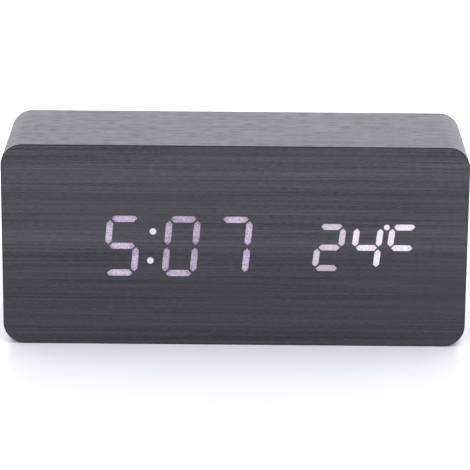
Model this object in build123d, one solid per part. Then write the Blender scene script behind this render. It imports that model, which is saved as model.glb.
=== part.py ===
from build123d import *
import math
import os

# Desk clock: a board case wrapped in wood-grain film, with digits that shine through its face.
# Millimetres and degrees. X runs along the case, Y from the face to the back, Z up.
# The origin is the middle of the underside.

# Every cut runs past the faces it opens
CUT_OVERRUN = 1.0

# Case: sleeve, front board and the room they leave round the works
SLEEVE_WALL = 5.0
INNER_CORNER = 2.0
REAR_BEVEL = 0.4
FILM = 0.4
FILM_BEVEL_SHARE = 0.5
FRONT_BOARD = 3.0
GLUE_GAP = 0.1
SIDE_ROOM = 3.0
HEAD_ROOM = 10.0
WORKS_ROOM = 20.4
BLOCK = 9.0
BLOCK_LENGTH = 14.0
BLOCK_CLEARANCE = 1.5

# Time digits: stroke centres, stroke width, pitches and lean
TIME_ROW = 9.05
TIME_SPAN = 9.05
TIME_STROKE = 2.1
TIME_PITCH = 16.75
TIME_LEAN = 5.0
COLON_PITCH = 19.05
COLON_SPREAD = 9.8
COLON_DOT = 2.35

# Temperature digits, degree dot and unit letter
TEMPERATURE_ROW = 6.92
TEMPERATURE_SPAN = 7.6
TEMPERATURE_STROKE = 2.0
TEMPERATURE_PITCH = 12.0
TEMPERATURE_LEAN = 6.0
UNIT_PITCH = 11.375
DEGREE_DOT = 2.0
GROUP_PITCH = 30.9

# Stroke ends: how far the points stop short of the corners, and where they lie across the stroke
FLAT_TIP_GAP = 0.3
UPRIGHT_TIP_GAP = 0.4
OUTER_TIP_SHARE = 0.4
MIDDLE_TIP_SHARE = 0.5
TIP_ROUND = 0.2

# Place of each stroke in half spans and rows, its quarter turns, and its tip share
STROKE_SHARES = {
    "a": (0, 1, 0, OUTER_TIP_SHARE),
    "b": (1, 0.5, -1, MIDDLE_TIP_SHARE),
    "c": (1, -0.5, -1, MIDDLE_TIP_SHARE),
    "d": (0, -1, 2, OUTER_TIP_SHARE),
    "e": (-1, -0.5, 1, MIDDLE_TIP_SHARE),
    "f": (-1, 0.5, 1, MIDDLE_TIP_SHARE),
    "g": (0, 0, 0, MIDDLE_TIP_SHARE),
}

# Strokes that are lit: blank 5 0 7, then 2 4 c
TIME_LIT = ("", "afgcd", "abcdef", "abc")
TEMPERATURE_LIT = ("abged", "fgbc", "afg")

# Light path behind the film
DIFFUSER = 0.4
MASK_BORDER = 3.4
WINDOW_GAP = 0.2
FLANGE_WIDTH = 5.0
FLANGE = 2.0
MASK_BOSS_RISE = 2.4
MASK_BOSS_WALL = 1.0
LED_LENGTH = 1.6
LED_WIDTH = 0.8
LED_HEIGHT = 0.6
LED_GAP = 0.25

# Boards and what they carry
BOARD = 1.6
CONTROLLER_LENGTH = 18.0
CONTROLLER_WIDTH = 7.5
CONTROLLER_HEIGHT = 2.3
DRIVER_LENGTH = 10.0
DRIVER_WIDTH = 4.0
DRIVER_HEIGHT = 1.6
LEG_PITCH = 1.27
LEG_WIDTH = 0.42
LEG_REACH = 1.1
LEG_HEIGHT_SHARE = 0.5
CRYSTAL_LENGTH = 6.0
CRYSTAL_DIAMETER = 2.0
BUZZER_DIAMETER = 12.0
BUZZER_HEIGHT = 6.5
BUZZER_HOLE = 2.0
BUZZER_HOLE_DEPTH = 1.5
CONTROLLER_X_SHARE = 0.02
DRIVER_X_SHARES = (-0.4, 0.22)
CRYSTAL_X_SHARE = 0.13
BUZZER_X_SHARE = 0.38

# Ribbon cable between the boards
RIBBON_WIDTH = 12.7
RIBBON = 0.9
RIBBON_STEP = 7.0
HEADER_BORDER = 1.6
HEADER_HEIGHT = 5.0

# Screws: shank, head and the room in their holes
SCREW = 2.2
SCREW_HEAD = 4.0
SCREW_HEAD_HEIGHT = 1.3
SCREW_HEAD_ROUND = 0.4
SCREW_GAP = 0.05
SCREW_POINT_SHARE = 0.5
SCREW_FLOOR = 0.6
SLOT_WIDTH_SHARE = 0.16
SLOT_LENGTH_SHARE = 0.6
SLOT_DEPTH_SHARE = 0.5
COVER_SCREW_LENGTH = 9.0
SINK_GAP = 0.3
SINK_FLOOR = 1.0

# Battery cells, contacts and springs
CELL_COUNT = 3
CELL_DIAMETER = 10.5
CELL_LENGTH = 44.5
CELL_BEVEL = 0.4
NUB_DIAMETER = 3.8
NUB = 1.0
CELL_GAP = 0.5
CELL_SIDE_GAP = 0.6
CELL_DOOR_GAP = 0.4
CELL_FLOOR_GAP = 0.1
PLATE = 0.4
PLATE_INSET = 2.5
TAIL_WIDTH = 3.0
TAIL_RISE = 2.5
TAIL_GAP = 0.15
WIRE = 0.6
WIRE_FLAT_COUNT = 8
SPRING_PITCH = 1.15
SPRING_TURN_COUNT = 3
SPRING_POINT_COUNT = 180
SPRING_BEND = 0.9
SPRING_BASE_DIAMETER = 6.4
SPRING_TIP_DIAMETER = 4.2
LEAD = 1.2
LEAD_LOOP = 6.0
LEAD_SPREAD = 8.0
LEAD_INSET = 3.0
LEAD_BEND_SHARE = 0.45

# Rear cover, its battery tray and door
COVER_RECESS = 1.2
COVER_GAP = 0.3
LEDGE = 0.7
TRAY_WALL = 1.4
TRAY_FLOOR = 1.5
TRAY_HEAD_ROOM = 8.0
TRAY_KEY_ROOM = 4.0
CRADLE_RIB = 1.0
CRADLE_RISE = 2.2
DOOR = 1.5
DOOR_CORNER = 1.5
DOOR_LAP = 1.2
DOOR_SEAT_GAP = 0.1
DOOR_SIDE_GAP = 0.2
HOOK_WIDTH = 6.0
HOOK = 1.0
HOOK_DROP = 1.15
HOOK_GAP = 0.15
HOOK_SIDE_GAP = 0.4
HOOK_PLACE_SHARES = (-0.32, 0.32)
TONGUE_WIDTH = 9.0
TONGUE_LENGTH = 8.0
TONGUE_SLIT = 0.8
LIP = 0.6
LIP_WIDTH = 1.4
SCOOP_RADIUS = 6.0
SCOOP_DEPTH = 1.0

# Keys and their switches
KEY_NAMES = ("set", "up", "down")
KEY_DIAMETER = 7.0
KEY_ROUND = 0.5
KEY_GAP = 0.25
KEY_PROUD = 0.6
KEY_DISH = 0.3
KEY_FLANGE_WIDTH = 1.3
KEY_FLANGE = 1.0
KEY_POST = 0.6
KEY_TRAVEL = 0.5
KEY_ROOM = 3.4
PLUNGER_DIAMETER = 3.4
PLUNGER_RISE = 1.5
PLUNGER_DEPTH = 1.0
PLUNGER_GAP = 0.2
SWITCH = 6.0
SWITCH_HEIGHT = 3.5
DISH_BORDER = 3.2
DISH_DEPTH = 0.7

# Key board, power jack, microphone, temperature sensor and vents
BOARD_END_ROOM = 3.3
ROW_PITCH = 14.5
ROW_CLEARANCE = 0.6
COVER_BOSS_WALL = 1.3
BOSS_EDGE = 1.1
JACK_BODY = 8.0
JACK_SEAT_GAP = 0.2
JACK_NOSE = 6.4
JACK_NOSE_GAP = 0.25
JACK_BORE = 3.6
JACK_FLOOR = 1.0
JACK_PIN = 1.3
JACK_PIN_BEVEL = 0.3
JACK_PIN_SETBACK = 1.0
MICROPHONE_DIAMETER = 6.0
MICROPHONE_HEIGHT = 2.7
MICROPHONE_PORT = 1.6
MICROPHONE_PORT_DEPTH = 0.8
SENSOR_BEAD = 2.4
SENSOR_LEG = 0.5
SENSOR_LEG_SPREAD = 1.2
SENSOR_RISE = 3.5
VENT_COUNT = 5
VENT_WIDTH = 1.4
VENT_HEIGHT = 10.0
VENT_PITCH = 3.6

# Display sizes worked out from the digits
TIME_GLYPH = TIME_SPAN + TIME_STROKE
TEMPERATURE_GLYPH = TEMPERATURE_SPAN + TEMPERATURE_STROKE
ROW_PITCHES = (TIME_PITCH, COLON_PITCH, TIME_PITCH, GROUP_PITCH, TEMPERATURE_PITCH, UNIT_PITCH)
ROW_LENGTH = sum(ROW_PITCHES) + (TIME_GLYPH + TEMPERATURE_GLYPH) / 2
ROW_HEIGHT = 2 * max(TIME_ROW, TEMPERATURE_ROW) + max(TIME_STROKE, TEMPERATURE_STROKE)
FIRST_DIGIT_X = (TIME_GLYPH - ROW_LENGTH) / 2
DIGIT_X = [FIRST_DIGIT_X + sum(ROW_PITCHES[:place]) for place in range(len(ROW_PITCHES) + 1)]
TIME_X, TEMPERATURE_X = DIGIT_X[:len(TIME_LIT)], DIGIT_X[len(TIME_LIT):]
COLON_X = (TIME_X[1] + TIME_X[2]) / 2
DEGREE_X = (TEMPERATURE_X[1] + TEMPERATURE_X[2]) / 2
MASK_WIDTH = ROW_LENGTH + 2 * MASK_BORDER
MASK_HEIGHT = ROW_HEIGHT + 2 * MASK_BORDER
BOARD_WIDTH = MASK_WIDTH + 2 * FLANGE_WIDTH
BOARD_HEIGHT = MASK_HEIGHT + 2 * FLANGE_WIDTH
SCREW_HOLE = SCREW + 2 * SCREW_GAP

# Battery tray and door sizes
SPRING_LENGTH = 2 * (WIRE + SPRING_BEND) + SPRING_TURN_COUNT * SPRING_PITCH
CELL_PITCH = CELL_DIAMETER + CELL_GAP
BAY_LENGTH = CELL_LENGTH + SPRING_LENGTH + 2 * PLATE
BAY_HEIGHT = CELL_COUNT * CELL_PITCH - CELL_GAP + 2 * CELL_SIDE_GAP
TRAY_LENGTH = BAY_LENGTH + 2 * TRAY_WALL
TRAY_HEIGHT = BAY_HEIGHT + 2 * TRAY_WALL
DOOR_WIDTH = BAY_LENGTH + 2 * DOOR_LAP
DOOR_HEIGHT = BAY_HEIGHT + 2 * DOOR_LAP
COVER = DOOR + DOOR_SEAT_GAP + LEDGE

# Key board sizes, with its bosses above and below the two rows
KEY_HOLE = KEY_DIAMETER + 2 * KEY_GAP
KEY_FLANGE_DIAMETER = KEY_DIAMETER + 2 * KEY_FLANGE_WIDTH
KEY_PITCH = KEY_FLANGE_DIAMETER + KEY_ROOM
KEY_REACH = max(KEY_FLANGE_DIAMETER, JACK_BODY, SWITCH) / 2
LOW_REACH = max(MICROPHONE_DIAMETER, SENSOR_BEAD) / 2
COVER_BOSS = SCREW_HOLE + 2 * COVER_BOSS_WALL
BOSS_KEEP = ROW_CLEARANCE + COVER_BOSS + BOSS_EDGE
KEY_BOARD_WIDTH = len(KEY_NAMES) * KEY_PITCH + 2 * (KEY_REACH + BOARD_END_ROOM)
KEY_BOARD_HEIGHT = ROW_PITCH + KEY_REACH + LOW_REACH + 2 * BOSS_KEEP

# Case sizes: the larger of what the display and the back need
CORNER_KEEP = BLOCK + BLOCK_CLEARANCE
REAR_NEED = 2 * CORNER_KEEP + TRAY_LENGTH + TRAY_KEY_ROOM + KEY_BOARD_WIDTH
INNER_WIDTH = max(BOARD_WIDTH + 2 * SIDE_ROOM, REAR_NEED)
REAR_TALL = max(TRAY_HEIGHT, KEY_BOARD_HEIGHT) + 2 * TRAY_HEAD_ROOM
INNER_HEIGHT = max(BOARD_HEIGHT + 2 * HEAD_ROOM, REAR_TALL)
CASE_HEIGHT = INNER_HEIGHT + 2 * SLEEVE_WALL
MASK_DEPTH = FRONT_BOARD - DIFFUSER + FLANGE + MASK_BOSS_RISE
DISPLAY_STACK = FILM + DIFFUSER + MASK_DEPTH + BOARD
TRAY_STACK = TRAY_FLOOR + CELL_FLOOR_GAP + CELL_DIAMETER + CELL_DOOR_GAP + DOOR + COVER_RECESS
CASE_DEPTH = DISPLAY_STACK + WORKS_ROOM + TRAY_STACK

# Depths from the face to the back
FACE_Y = -CASE_DEPTH / 2
FILM_Y = FACE_Y + FILM
DIFFUSER_Y = FILM_Y + DIFFUSER
FRONT_BOARD_Y = FILM_Y + FRONT_BOARD
FLANGE_Y = FRONT_BOARD_Y + FLANGE
BOARD_Y = DIFFUSER_Y + MASK_DEPTH
BOARD_BACK_Y = BOARD_Y + BOARD
BACK_Y = CASE_DEPTH / 2
COVER_Y = BACK_Y - COVER_RECESS
COVER_IN_Y = COVER_Y - COVER
DOOR_IN_Y = COVER_Y - DOOR
CELL_Y = DOOR_IN_Y - CELL_DOOR_GAP - CELL_DIAMETER / 2
FLOOR_Y = CELL_Y - CELL_DIAMETER / 2 - CELL_FLOOR_GAP
TRAY_Y = FLOOR_Y - TRAY_FLOOR
KEY_FLANGE_Y = COVER_IN_Y - KEY_FLANGE
PLUNGER_Y = KEY_FLANGE_Y - KEY_POST
SWITCH_Y = PLUNGER_Y - PLUNGER_RISE
KEY_BOARD_Y = SWITCH_Y - SWITCH_HEIGHT
KEY_BOARD_FRONT_Y = KEY_BOARD_Y - BOARD

# Places across and up the case
MID_Z = CASE_HEIGHT / 2
TRAY_X = INNER_WIDTH / 2 - CORNER_KEEP - TRAY_LENGTH / 2
KEY_BOARD_X = CORNER_KEEP + KEY_BOARD_WIDTH / 2 - INNER_WIDTH / 2
KEY_ROW_Z = MID_Z + (ROW_PITCH + LOW_REACH - KEY_REACH) / 2
LOW_ROW_Z = KEY_ROW_Z - ROW_PITCH
ROW_X = [KEY_BOARD_X + (place - len(KEY_NAMES) / 2) * KEY_PITCH for place in range(len(KEY_NAMES) + 1)]
JACK_X, KEY_X = ROW_X[0], ROW_X[1:]
SENSOR_X = KEY_X[1]
CELL_Z = [MID_Z + (place - (CELL_COUNT - 1) / 2) * CELL_PITCH for place in range(CELL_COUNT)]
CELL_SIDES = [1 - 2 * (place % 2) for place in range(CELL_COUNT)]
DOOR_LOW_Z = MID_Z - DOOR_HEIGHT / 2
DOOR_HIGH_Z = MID_Z + DOOR_HEIGHT / 2
HINGE_Y = COVER_Y - DOOR / 2
HINGE_Z = DOOR_LOW_Z + DOOR / 2
BAY_LOW_Z = MID_Z - BAY_HEIGHT / 2
HOOK_Y = COVER_IN_Y - HOOK_GAP
HOOK_SWEEP = math.hypot(HINGE_Y - HOOK_Y + HOOK, DOOR / 2 + HOOK_DROP)
HOOK_X = [TRAY_X + share * BAY_LENGTH for share in HOOK_PLACE_SHARES]
BLOCK_X = (INNER_WIDTH - BLOCK) / 2
BLOCK_Z = (INNER_HEIGHT - BLOCK) / 2
BLOCK_SPOTS = [(x, MID_Z + z) for x in (-BLOCK_X, BLOCK_X) for z in (-BLOCK_Z, BLOCK_Z)]
FLANGE_X = (MASK_WIDTH + FLANGE_WIDTH) / 2
FLANGE_Z = (MASK_HEIGHT + FLANGE_WIDTH) / 2
MASK_BOSS_SPOTS = [(x, MID_Z + z) for x in (-FLANGE_X, 0, FLANGE_X) for z in (-FLANGE_Z, FLANGE_Z)]
COVER_BOSS_X = KEY_BOARD_WIDTH / 2 - BOSS_EDGE - COVER_BOSS / 2
COVER_BOSS_Z = KEY_BOARD_HEIGHT / 2 - BOSS_EDGE - COVER_BOSS / 2
COVER_BOSS_SPOTS = [
    (KEY_BOARD_X + x, MID_Z + z)
    for x in (-COVER_BOSS_X, COVER_BOSS_X)
    for z in (-COVER_BOSS_Z, COVER_BOSS_Z)
]


def facing(y):
    """Plane across the case at depth y, drawn as seen from the front."""
    return Plane(origin=(0, y, 0), x_dir=(1, 0, 0), z_dir=(0, -1, 0))


def slab(outline, front_y, back_y):
    """Solid with the given outline between two depths."""
    return extrude(facing(back_y) * outline, back_y - front_y)


def block(x, z, width, height, front_y, back_y):
    """Square-edged bar between two depths."""
    return slab(Pos(x, z) * Rectangle(width, height), front_y, back_y)


def rod(x, z, diameter, front_y, back_y):
    """Round bar between two depths."""
    return slab(Pos(x, z) * Circle(diameter / 2), front_y, back_y)


def case_panel(shrink):
    """Outline of the sleeve's inside, drawn in by shrink, or let out where shrink is below zero."""
    width, height = INNER_WIDTH - 2 * shrink, INNER_HEIGHT - 2 * shrink
    return Pos(0, MID_Z) * RectangleRounded(width, height, INNER_CORNER - shrink)


def group(shapes):
    """Separate solids kept together as one node."""
    return Compound([solid for shape in shapes for solid in shape.solids()])


def screw(x, z, length, head_y, way):
    """Cross-head screw along Y; its head sits at head_y and its shank points along way, 1 or -1."""
    shank = length * (1 - SCREW_POINT_SHARE * SCREW / length)
    half, head = SCREW / 2, SCREW_HEAD / 2
    outline = Polyline(
        (0, -SCREW_HEAD_HEIGHT),
        (head - SCREW_HEAD_ROUND, -SCREW_HEAD_HEIGHT),
        (head, SCREW_HEAD_ROUND - SCREW_HEAD_HEIGHT),
        (head, 0),
        (half, 0),
        (half, shank),
        (0, length),
        close=True,
    )
    body = revolve(make_face(outline), Axis.Y)
    deep = SCREW_HEAD_HEIGHT * SLOT_DEPTH_SHARE
    for long, wide in ((SLOT_LENGTH_SHARE, SLOT_WIDTH_SHARE), (SLOT_WIDTH_SHARE, SLOT_LENGTH_SHARE)):
        body -= Pos(0, -SCREW_HEAD_HEIGHT, 0) * Box(long * SCREW_HEAD, 2 * deep, wide * SCREW_HEAD)
    turn = Rot(0, 0, 0) if way > 0 else Rot(180, 0, 0)
    return Pos(x, head_y, z) * turn * body


def stroke_bar(length, width, tip_share):
    """Points of a bar with pointed ends, its outer edge up and its tips tip_share of the way in."""
    half, edge, bevel, mitre = length / 2, width / 2, width * tip_share, width * (1 - tip_share)
    tip = edge - bevel
    return [
        (mitre - half, -edge),
        (half - mitre, -edge),
        (half, tip),
        (half - bevel, edge),
        (bevel - half, edge),
        (-half, tip),
    ]


def placed(points, quarters, across, up, lean, x):
    """Points turned by quarter turns, set in their digit, leant over and moved to the digit's place."""
    cosine, sine = round(math.cos(quarters * math.pi / 2)), round(math.sin(quarters * math.pi / 2))
    slope = math.tan(math.radians(lean))
    turned = [(u * cosine - v * sine + across, u * sine + v * cosine + up) for u, v in points]
    return [(x + u + slope * v, MID_Z + v) for u, v in turned]


def digit_strokes(x, row, span, stroke, lean):
    """Window outline and light-well mouth of each stroke of one digit, by letter."""
    mouth_width = LED_WIDTH + 2 * LED_GAP
    mouth_length = LED_LENGTH + 2 * LED_GAP + 2 * mouth_width
    strokes = {}
    for letter, (across, up, quarters, tip_share) in STROKE_SHARES.items():
        upright = quarters % 2
        length = row - 2 * UPRIGHT_TIP_GAP if upright else span - 2 * FLAT_TIP_GAP
        place = (quarters, across * span / 2, up * row, lean, x)
        window = placed(stroke_bar(length, stroke, tip_share), *place)
        mouth = placed(stroke_bar(mouth_length, mouth_width, MIDDLE_TIP_SHARE), *place)
        centre = placed([(0, 0)], *place)[0]
        strokes[letter] = (window, mouth, centre, upright)
    return strokes


def dot_spots():
    """Centre and diameter of the colon's two dots and the degree dot."""
    time_slope, degree_slope = (math.tan(math.radians(lean)) for lean in (TIME_LEAN, TEMPERATURE_LEAN))
    half = COLON_SPREAD / 2
    colon = [(COLON_X + time_slope * rise, MID_Z + rise, COLON_DOT) for rise in (-half, half)]
    degree = (DEGREE_X + degree_slope * TEMPERATURE_ROW, MID_Z + TEMPERATURE_ROW, DEGREE_DOT)
    return colon, degree


TIME_DIGITS = [digit_strokes(x, TIME_ROW, TIME_SPAN, TIME_STROKE, TIME_LEAN) for x in TIME_X]
TEMPERATURE_DIGITS = [
    digit_strokes(x, TEMPERATURE_ROW, TEMPERATURE_SPAN, TEMPERATURE_STROKE, TEMPERATURE_LEAN)
    for x in TEMPERATURE_X
]
ALL_STROKES = [stroke for digit in TIME_DIGITS + TEMPERATURE_DIGITS for stroke in digit.values()]
COLON_DOTS, DEGREE_SPOT = dot_spots()
ALL_DOTS = COLON_DOTS + [DEGREE_SPOT]


def window_outline(points):
    """Outline of one stroke's window, its two tips slightly round."""
    outline = Polygon(*points)
    tips = outline.vertices().sort_by_distance(outline.center())[-2:]
    return fillet(tips, TIP_ROUND)


def windows(digits, lit, wanted):
    """Film windows of the strokes that are lit, or of those that are not."""
    return [
        slab(window_outline(window), FACE_Y, FILM_Y)
        for digit, letters in zip(digits, lit)
        for letter, (window, mouth, centre, upright) in digit.items()
        if (letter in letters) == wanted
    ]


def dot_window(spot):
    """Film window of one round dot."""
    x, z, diameter = spot
    return rod(x, z, diameter, FACE_Y, FILM_Y)


def case_sleeve():
    """Rounded board ring, square at the face and eased at its rear edge."""
    sleeve = slab(case_panel(-SLEEVE_WALL), FILM_Y, BACK_Y)
    rear_edge = sleeve.faces().sort_by(Axis.Y)[-1].outer_wire().edges()
    sleeve = chamfer(rear_edge, REAR_BEVEL)
    return sleeve - slab(case_panel(0), FILM_Y - CUT_OVERRUN, BACK_Y + CUT_OVERRUN)


def front_board():
    """Board behind the film, with the display window and blind holes for the display's screws."""
    window = Pos(0, MID_Z) * Rectangle(MASK_WIDTH + 2 * WINDOW_GAP, MASK_HEIGHT + 2 * WINDOW_GAP)
    board = slab(case_panel(GLUE_GAP) - window, FILM_Y, FRONT_BOARD_Y)
    for x, z in MASK_BOSS_SPOTS:
        board -= rod(x, z, SCREW_HOLE, FILM_Y + SCREW_FLOOR, FRONT_BOARD_Y + CUT_OVERRUN)
    return board


def front_film():
    """Wood-grain film over the face, open at every stroke and dot, with a trimmed edge."""
    outline = case_panel(-SLEEVE_WALL)
    outline -= [window_outline(window) for window, mouth, centre, upright in ALL_STROKES]
    outline -= [Pos(x, z) * Circle(diameter / 2) for x, z, diameter in ALL_DOTS]
    film = slab(outline, FACE_Y, FILM_Y)
    edge = film.faces().sort_by(Axis.Y)[0].outer_wire().edges()
    return chamfer(edge, FILM * FILM_BEVEL_SHARE)


def diffuser_sheet():
    """Milky sheet between the film and the light wells."""
    return block(0, MID_Z, MASK_WIDTH, MASK_HEIGHT, FILM_Y, DIFFUSER_Y)


def stroke_well(window, mouth):
    """Light well that narrows in flat walls from a stroke's window to the mouth round its LED."""
    front = [(x, DIFFUSER_Y, z) for x, z in window]
    back = [(x, BOARD_Y, z) for x, z in mouth]
    rims = [front, back]
    for place in range(len(front)):
        after = (place + 1) % len(front)
        rims.append([front[place], front[after], back[after], back[place]])
    return Solid(Shell([Face(Wire.make_polygon(rim)) for rim in rims]))


def dot_well(x, z, diameter):
    """Round light well from a dot's window to the mouth round its LED."""
    mouth = math.hypot(LED_LENGTH, LED_WIDTH) / 2 + LED_GAP
    funnel = Rot(90, 0, 0) * Cone(mouth, diameter / 2, MASK_DEPTH)
    return Pos(x, (DIFFUSER_Y + BOARD_Y) / 2, z) * funnel


def segment_mask():
    """Moulded mask: one light well for each stroke and dot, a flange and screw bosses."""
    mask = block(0, MID_Z, MASK_WIDTH, MASK_HEIGHT, DIFFUSER_Y, BOARD_Y)
    mask += block(0, MID_Z, BOARD_WIDTH, BOARD_HEIGHT, FRONT_BOARD_Y, FLANGE_Y)
    boss = SCREW_HOLE + 2 * MASK_BOSS_WALL
    mask += [rod(x, z, boss, FLANGE_Y, BOARD_Y) for x, z in MASK_BOSS_SPOTS]
    mask -= [stroke_well(window, mouth) for window, mouth, centre, upright in ALL_STROKES]
    mask -= [dot_well(*spot) for spot in ALL_DOTS]
    front, back = FRONT_BOARD_Y - CUT_OVERRUN, BOARD_Y + CUT_OVERRUN
    return mask - [rod(x, z, SCREW_HOLE, front, back) for x, z in MASK_BOSS_SPOTS]


def display_board():
    """Circuit board behind the mask."""
    board = block(0, MID_Z, BOARD_WIDTH, BOARD_HEIGHT, BOARD_Y, BOARD_BACK_Y)
    return board - [
        rod(x, z, SCREW_HOLE, BOARD_Y - CUT_OVERRUN, BOARD_BACK_Y + CUT_OVERRUN) for x, z in MASK_BOSS_SPOTS
    ]


def segment_leds():
    """One chip LED at the foot of every light well."""
    front = BOARD_Y - LED_HEIGHT
    leds = []
    for window, mouth, (x, z), upright in ALL_STROKES:
        width, height = (LED_WIDTH, LED_LENGTH) if upright else (LED_LENGTH, LED_WIDTH)
        leds.append(block(x, z, width, height, front, BOARD_Y))
    leds += [block(x, z, LED_LENGTH, LED_WIDTH, front, BOARD_Y) for x, z, diameter in ALL_DOTS]
    return group(leds)


def display_board_screws():
    """Screws through the board and the mask's bosses into the front board."""
    length = BOARD_BACK_Y - FILM_Y - 2 * SCREW_FLOOR
    return group([screw(x, z, length, BOARD_BACK_Y, -1) for x, z in MASK_BOSS_SPOTS])


def chip(x, length, width, height):
    """Chip with as many legs along each long side as fit, lying on the back of the display board."""
    body = block(x, MID_Z, length, width, BOARD_BACK_Y, BOARD_BACK_Y + height)
    gaps = int((length - LEG_WIDTH) / LEG_PITCH)
    foot = BOARD_BACK_Y + height * LEG_HEIGHT_SHARE
    for place in range(gaps + 1):
        leg_x = x + (place - gaps / 2) * LEG_PITCH
        body += block(leg_x, MID_Z, LEG_WIDTH, width + 2 * LEG_REACH, BOARD_BACK_Y, foot)
    return body


def clock_crystal():
    """Small can that sets the time base, lying on the display board."""
    seat = BOARD_BACK_Y + CRYSTAL_DIAMETER / 2
    can = Rot(0, 90, 0) * Cylinder(CRYSTAL_DIAMETER / 2, CRYSTAL_LENGTH)
    return Pos(CRYSTAL_X_SHARE * BOARD_WIDTH, seat, MID_Z) * can


def buzzer():
    """Round alarm buzzer with its sound hole."""
    x, top = BUZZER_X_SHARE * BOARD_WIDTH, BOARD_BACK_Y + BUZZER_HEIGHT
    can = rod(x, MID_Z, BUZZER_DIAMETER, BOARD_BACK_Y, top)
    return can - rod(x, MID_Z, BUZZER_HOLE, top - BUZZER_HOLE_DEPTH, top + CUT_OVERRUN)


def ribbon_headers():
    """Two headers that the ribbon cable plugs into, one on each board."""
    length, width = RIBBON_WIDTH + 2 * HEADER_BORDER, RIBBON + 2 * HEADER_BORDER
    low, high = MID_Z - RIBBON_STEP / 2, MID_Z + RIBBON_STEP / 2
    return group([
        block(KEY_BOARD_X, low, length, width, BOARD_BACK_Y, BOARD_BACK_Y + HEADER_HEIGHT),
        block(KEY_BOARD_X, high, length, width, KEY_BOARD_FRONT_Y - HEADER_HEIGHT, KEY_BOARD_FRONT_Y),
    ])


def ribbon_cable():
    """Flat cable in an easy S from header to header."""
    start = Vector(BOARD_BACK_Y + HEADER_HEIGHT, MID_Z - RIBBON_STEP / 2)
    end = Vector(KEY_BOARD_FRONT_Y - HEADER_HEIGHT, MID_Z + RIBBON_STEP / 2)
    middle = (start + end) / 2
    first = TangentArc(start, middle, tangent=(1, 0))
    second = TangentArc(middle, end, tangent=first % 1)
    strip = trace([first, second], RIBBON)
    return extrude(Plane.YZ.offset(KEY_BOARD_X - RIBBON_WIDTH / 2) * strip, RIBBON_WIDTH)


def corner_blocks():
    """Wood blocks glued into the sleeve's corners, drilled for the cover's screws."""
    front = COVER_IN_Y - BLOCK_LENGTH
    deepest = COVER_IN_Y - COVER_SCREW_LENGTH
    blocks = []
    for x, z in BLOCK_SPOTS:
        corner = case_panel(GLUE_GAP) & Pos(x, z) * Rectangle(BLOCK, BLOCK)
        pilot = rod(x, z, SCREW_HOLE, deepest, COVER_IN_Y + CUT_OVERRUN)
        blocks.append(slab(corner, front, COVER_IN_Y) - pilot)
    return group(blocks)


def door_outline(gap):
    """Door outline let out by gap: square at the hinge edge, rounded at the two upper corners."""
    sheet = Pos(TRAY_X, MID_Z) * Rectangle(DOOR_WIDTH + 2 * gap, DOOR_HEIGHT + 2 * gap)
    return fillet(sheet.vertices().sort_by(Axis.Y)[-2:], DOOR_CORNER + gap)


def cover_plate():
    """Rear plate with the battery tray on its inside and the door's seat in its outside."""
    plate = slab(case_panel(COVER_GAP), COVER_IN_Y, COVER_Y)
    plate += block(TRAY_X, MID_Z, TRAY_LENGTH, TRAY_HEIGHT, TRAY_Y, COVER_IN_Y)
    plate -= block(TRAY_X, MID_Z, BAY_LENGTH, BAY_HEIGHT, FLOOR_Y, COVER_Y + CUT_OVERRUN)
    plate -= slab(door_outline(DOOR_SIDE_GAP), DOOR_IN_Y - DOOR_SEAT_GAP, COVER_Y + CUT_OVERRUN)
    rib_length = CELL_LENGTH / 2
    for low, high in zip(CELL_Z, CELL_Z[1:]):
        plate += block(TRAY_X, (low + high) / 2, rib_length, CRADLE_RIB, FLOOR_Y, FLOOR_Y + CRADLE_RISE)
    slot_front = HINGE_Y - HOOK_SWEEP - HOOK_SIDE_GAP
    slot_z = BAY_LOW_Z - TRAY_WALL / 2
    for x in HOOK_X:
        slot = HOOK_WIDTH + 2 * HOOK_SIDE_GAP
        plate -= block(x, slot_z, slot, TRAY_WALL + 2 * CUT_OVERRUN, slot_front, COVER_IN_Y)
    for x, z in tail_spots():
        wide, tall = PLATE + 2 * TAIL_GAP, TAIL_WIDTH + 2 * TAIL_GAP
        plate -= block(x, z, wide, tall, TRAY_Y - CUT_OVERRUN, FLOOR_Y + CUT_OVERRUN)
    ball = (SCOOP_RADIUS ** 2 + SCOOP_DEPTH ** 2) / (2 * SCOOP_DEPTH)
    return plate - Pos(TRAY_X, COVER_Y + ball - SCOOP_DEPTH, DOOR_HIGH_Z) * Sphere(ball)


def rear_cover():
    """Moulded cover: plate and tray, bosses for the key board, and every opening in the back."""
    out = COVER_Y + CUT_OVERRUN
    inside = COVER_IN_Y - CUT_OVERRUN
    cover = cover_plate()
    cover += [rod(x, z, COVER_BOSS, KEY_BOARD_Y, COVER_IN_Y) for x, z in COVER_BOSS_SPOTS]
    cover -= [rod(x, z, SCREW_HOLE, KEY_BOARD_Y - CUT_OVERRUN, COVER_IN_Y) for x, z in COVER_BOSS_SPOTS]
    dish_height = KEY_DIAMETER + 2 * DISH_BORDER
    dish = Pos(KEY_X[1], KEY_ROW_Z) * SlotOverall(KEY_X[-1] - KEY_X[0] + dish_height, dish_height)
    cover -= slab(dish, COVER_Y - DISH_DEPTH, out)
    cover -= [rod(x, KEY_ROW_Z, KEY_HOLE, inside, out) for x in KEY_X]
    cover -= rod(JACK_X, KEY_ROW_Z, JACK_NOSE + 2 * JACK_NOSE_GAP, inside, out)
    cover -= rod(JACK_X, LOW_ROW_Z, MICROPHONE_PORT, inside, out)
    for place in range(VENT_COUNT):
        x = SENSOR_X + (place - (VENT_COUNT - 1) / 2) * VENT_PITCH
        cover -= slab(Pos(x, LOW_ROW_Z) * SlotOverall(VENT_HEIGHT, VENT_WIDTH, rotation=90), inside, out)
    for x, z in BLOCK_SPOTS:
        cover -= rod(x, z, SCREW_HOLE, inside, out)
        cover -= rod(x, z, SCREW_HEAD + 2 * SINK_GAP, COVER_IN_Y + SINK_FLOOR, out)
    return cover


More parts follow.
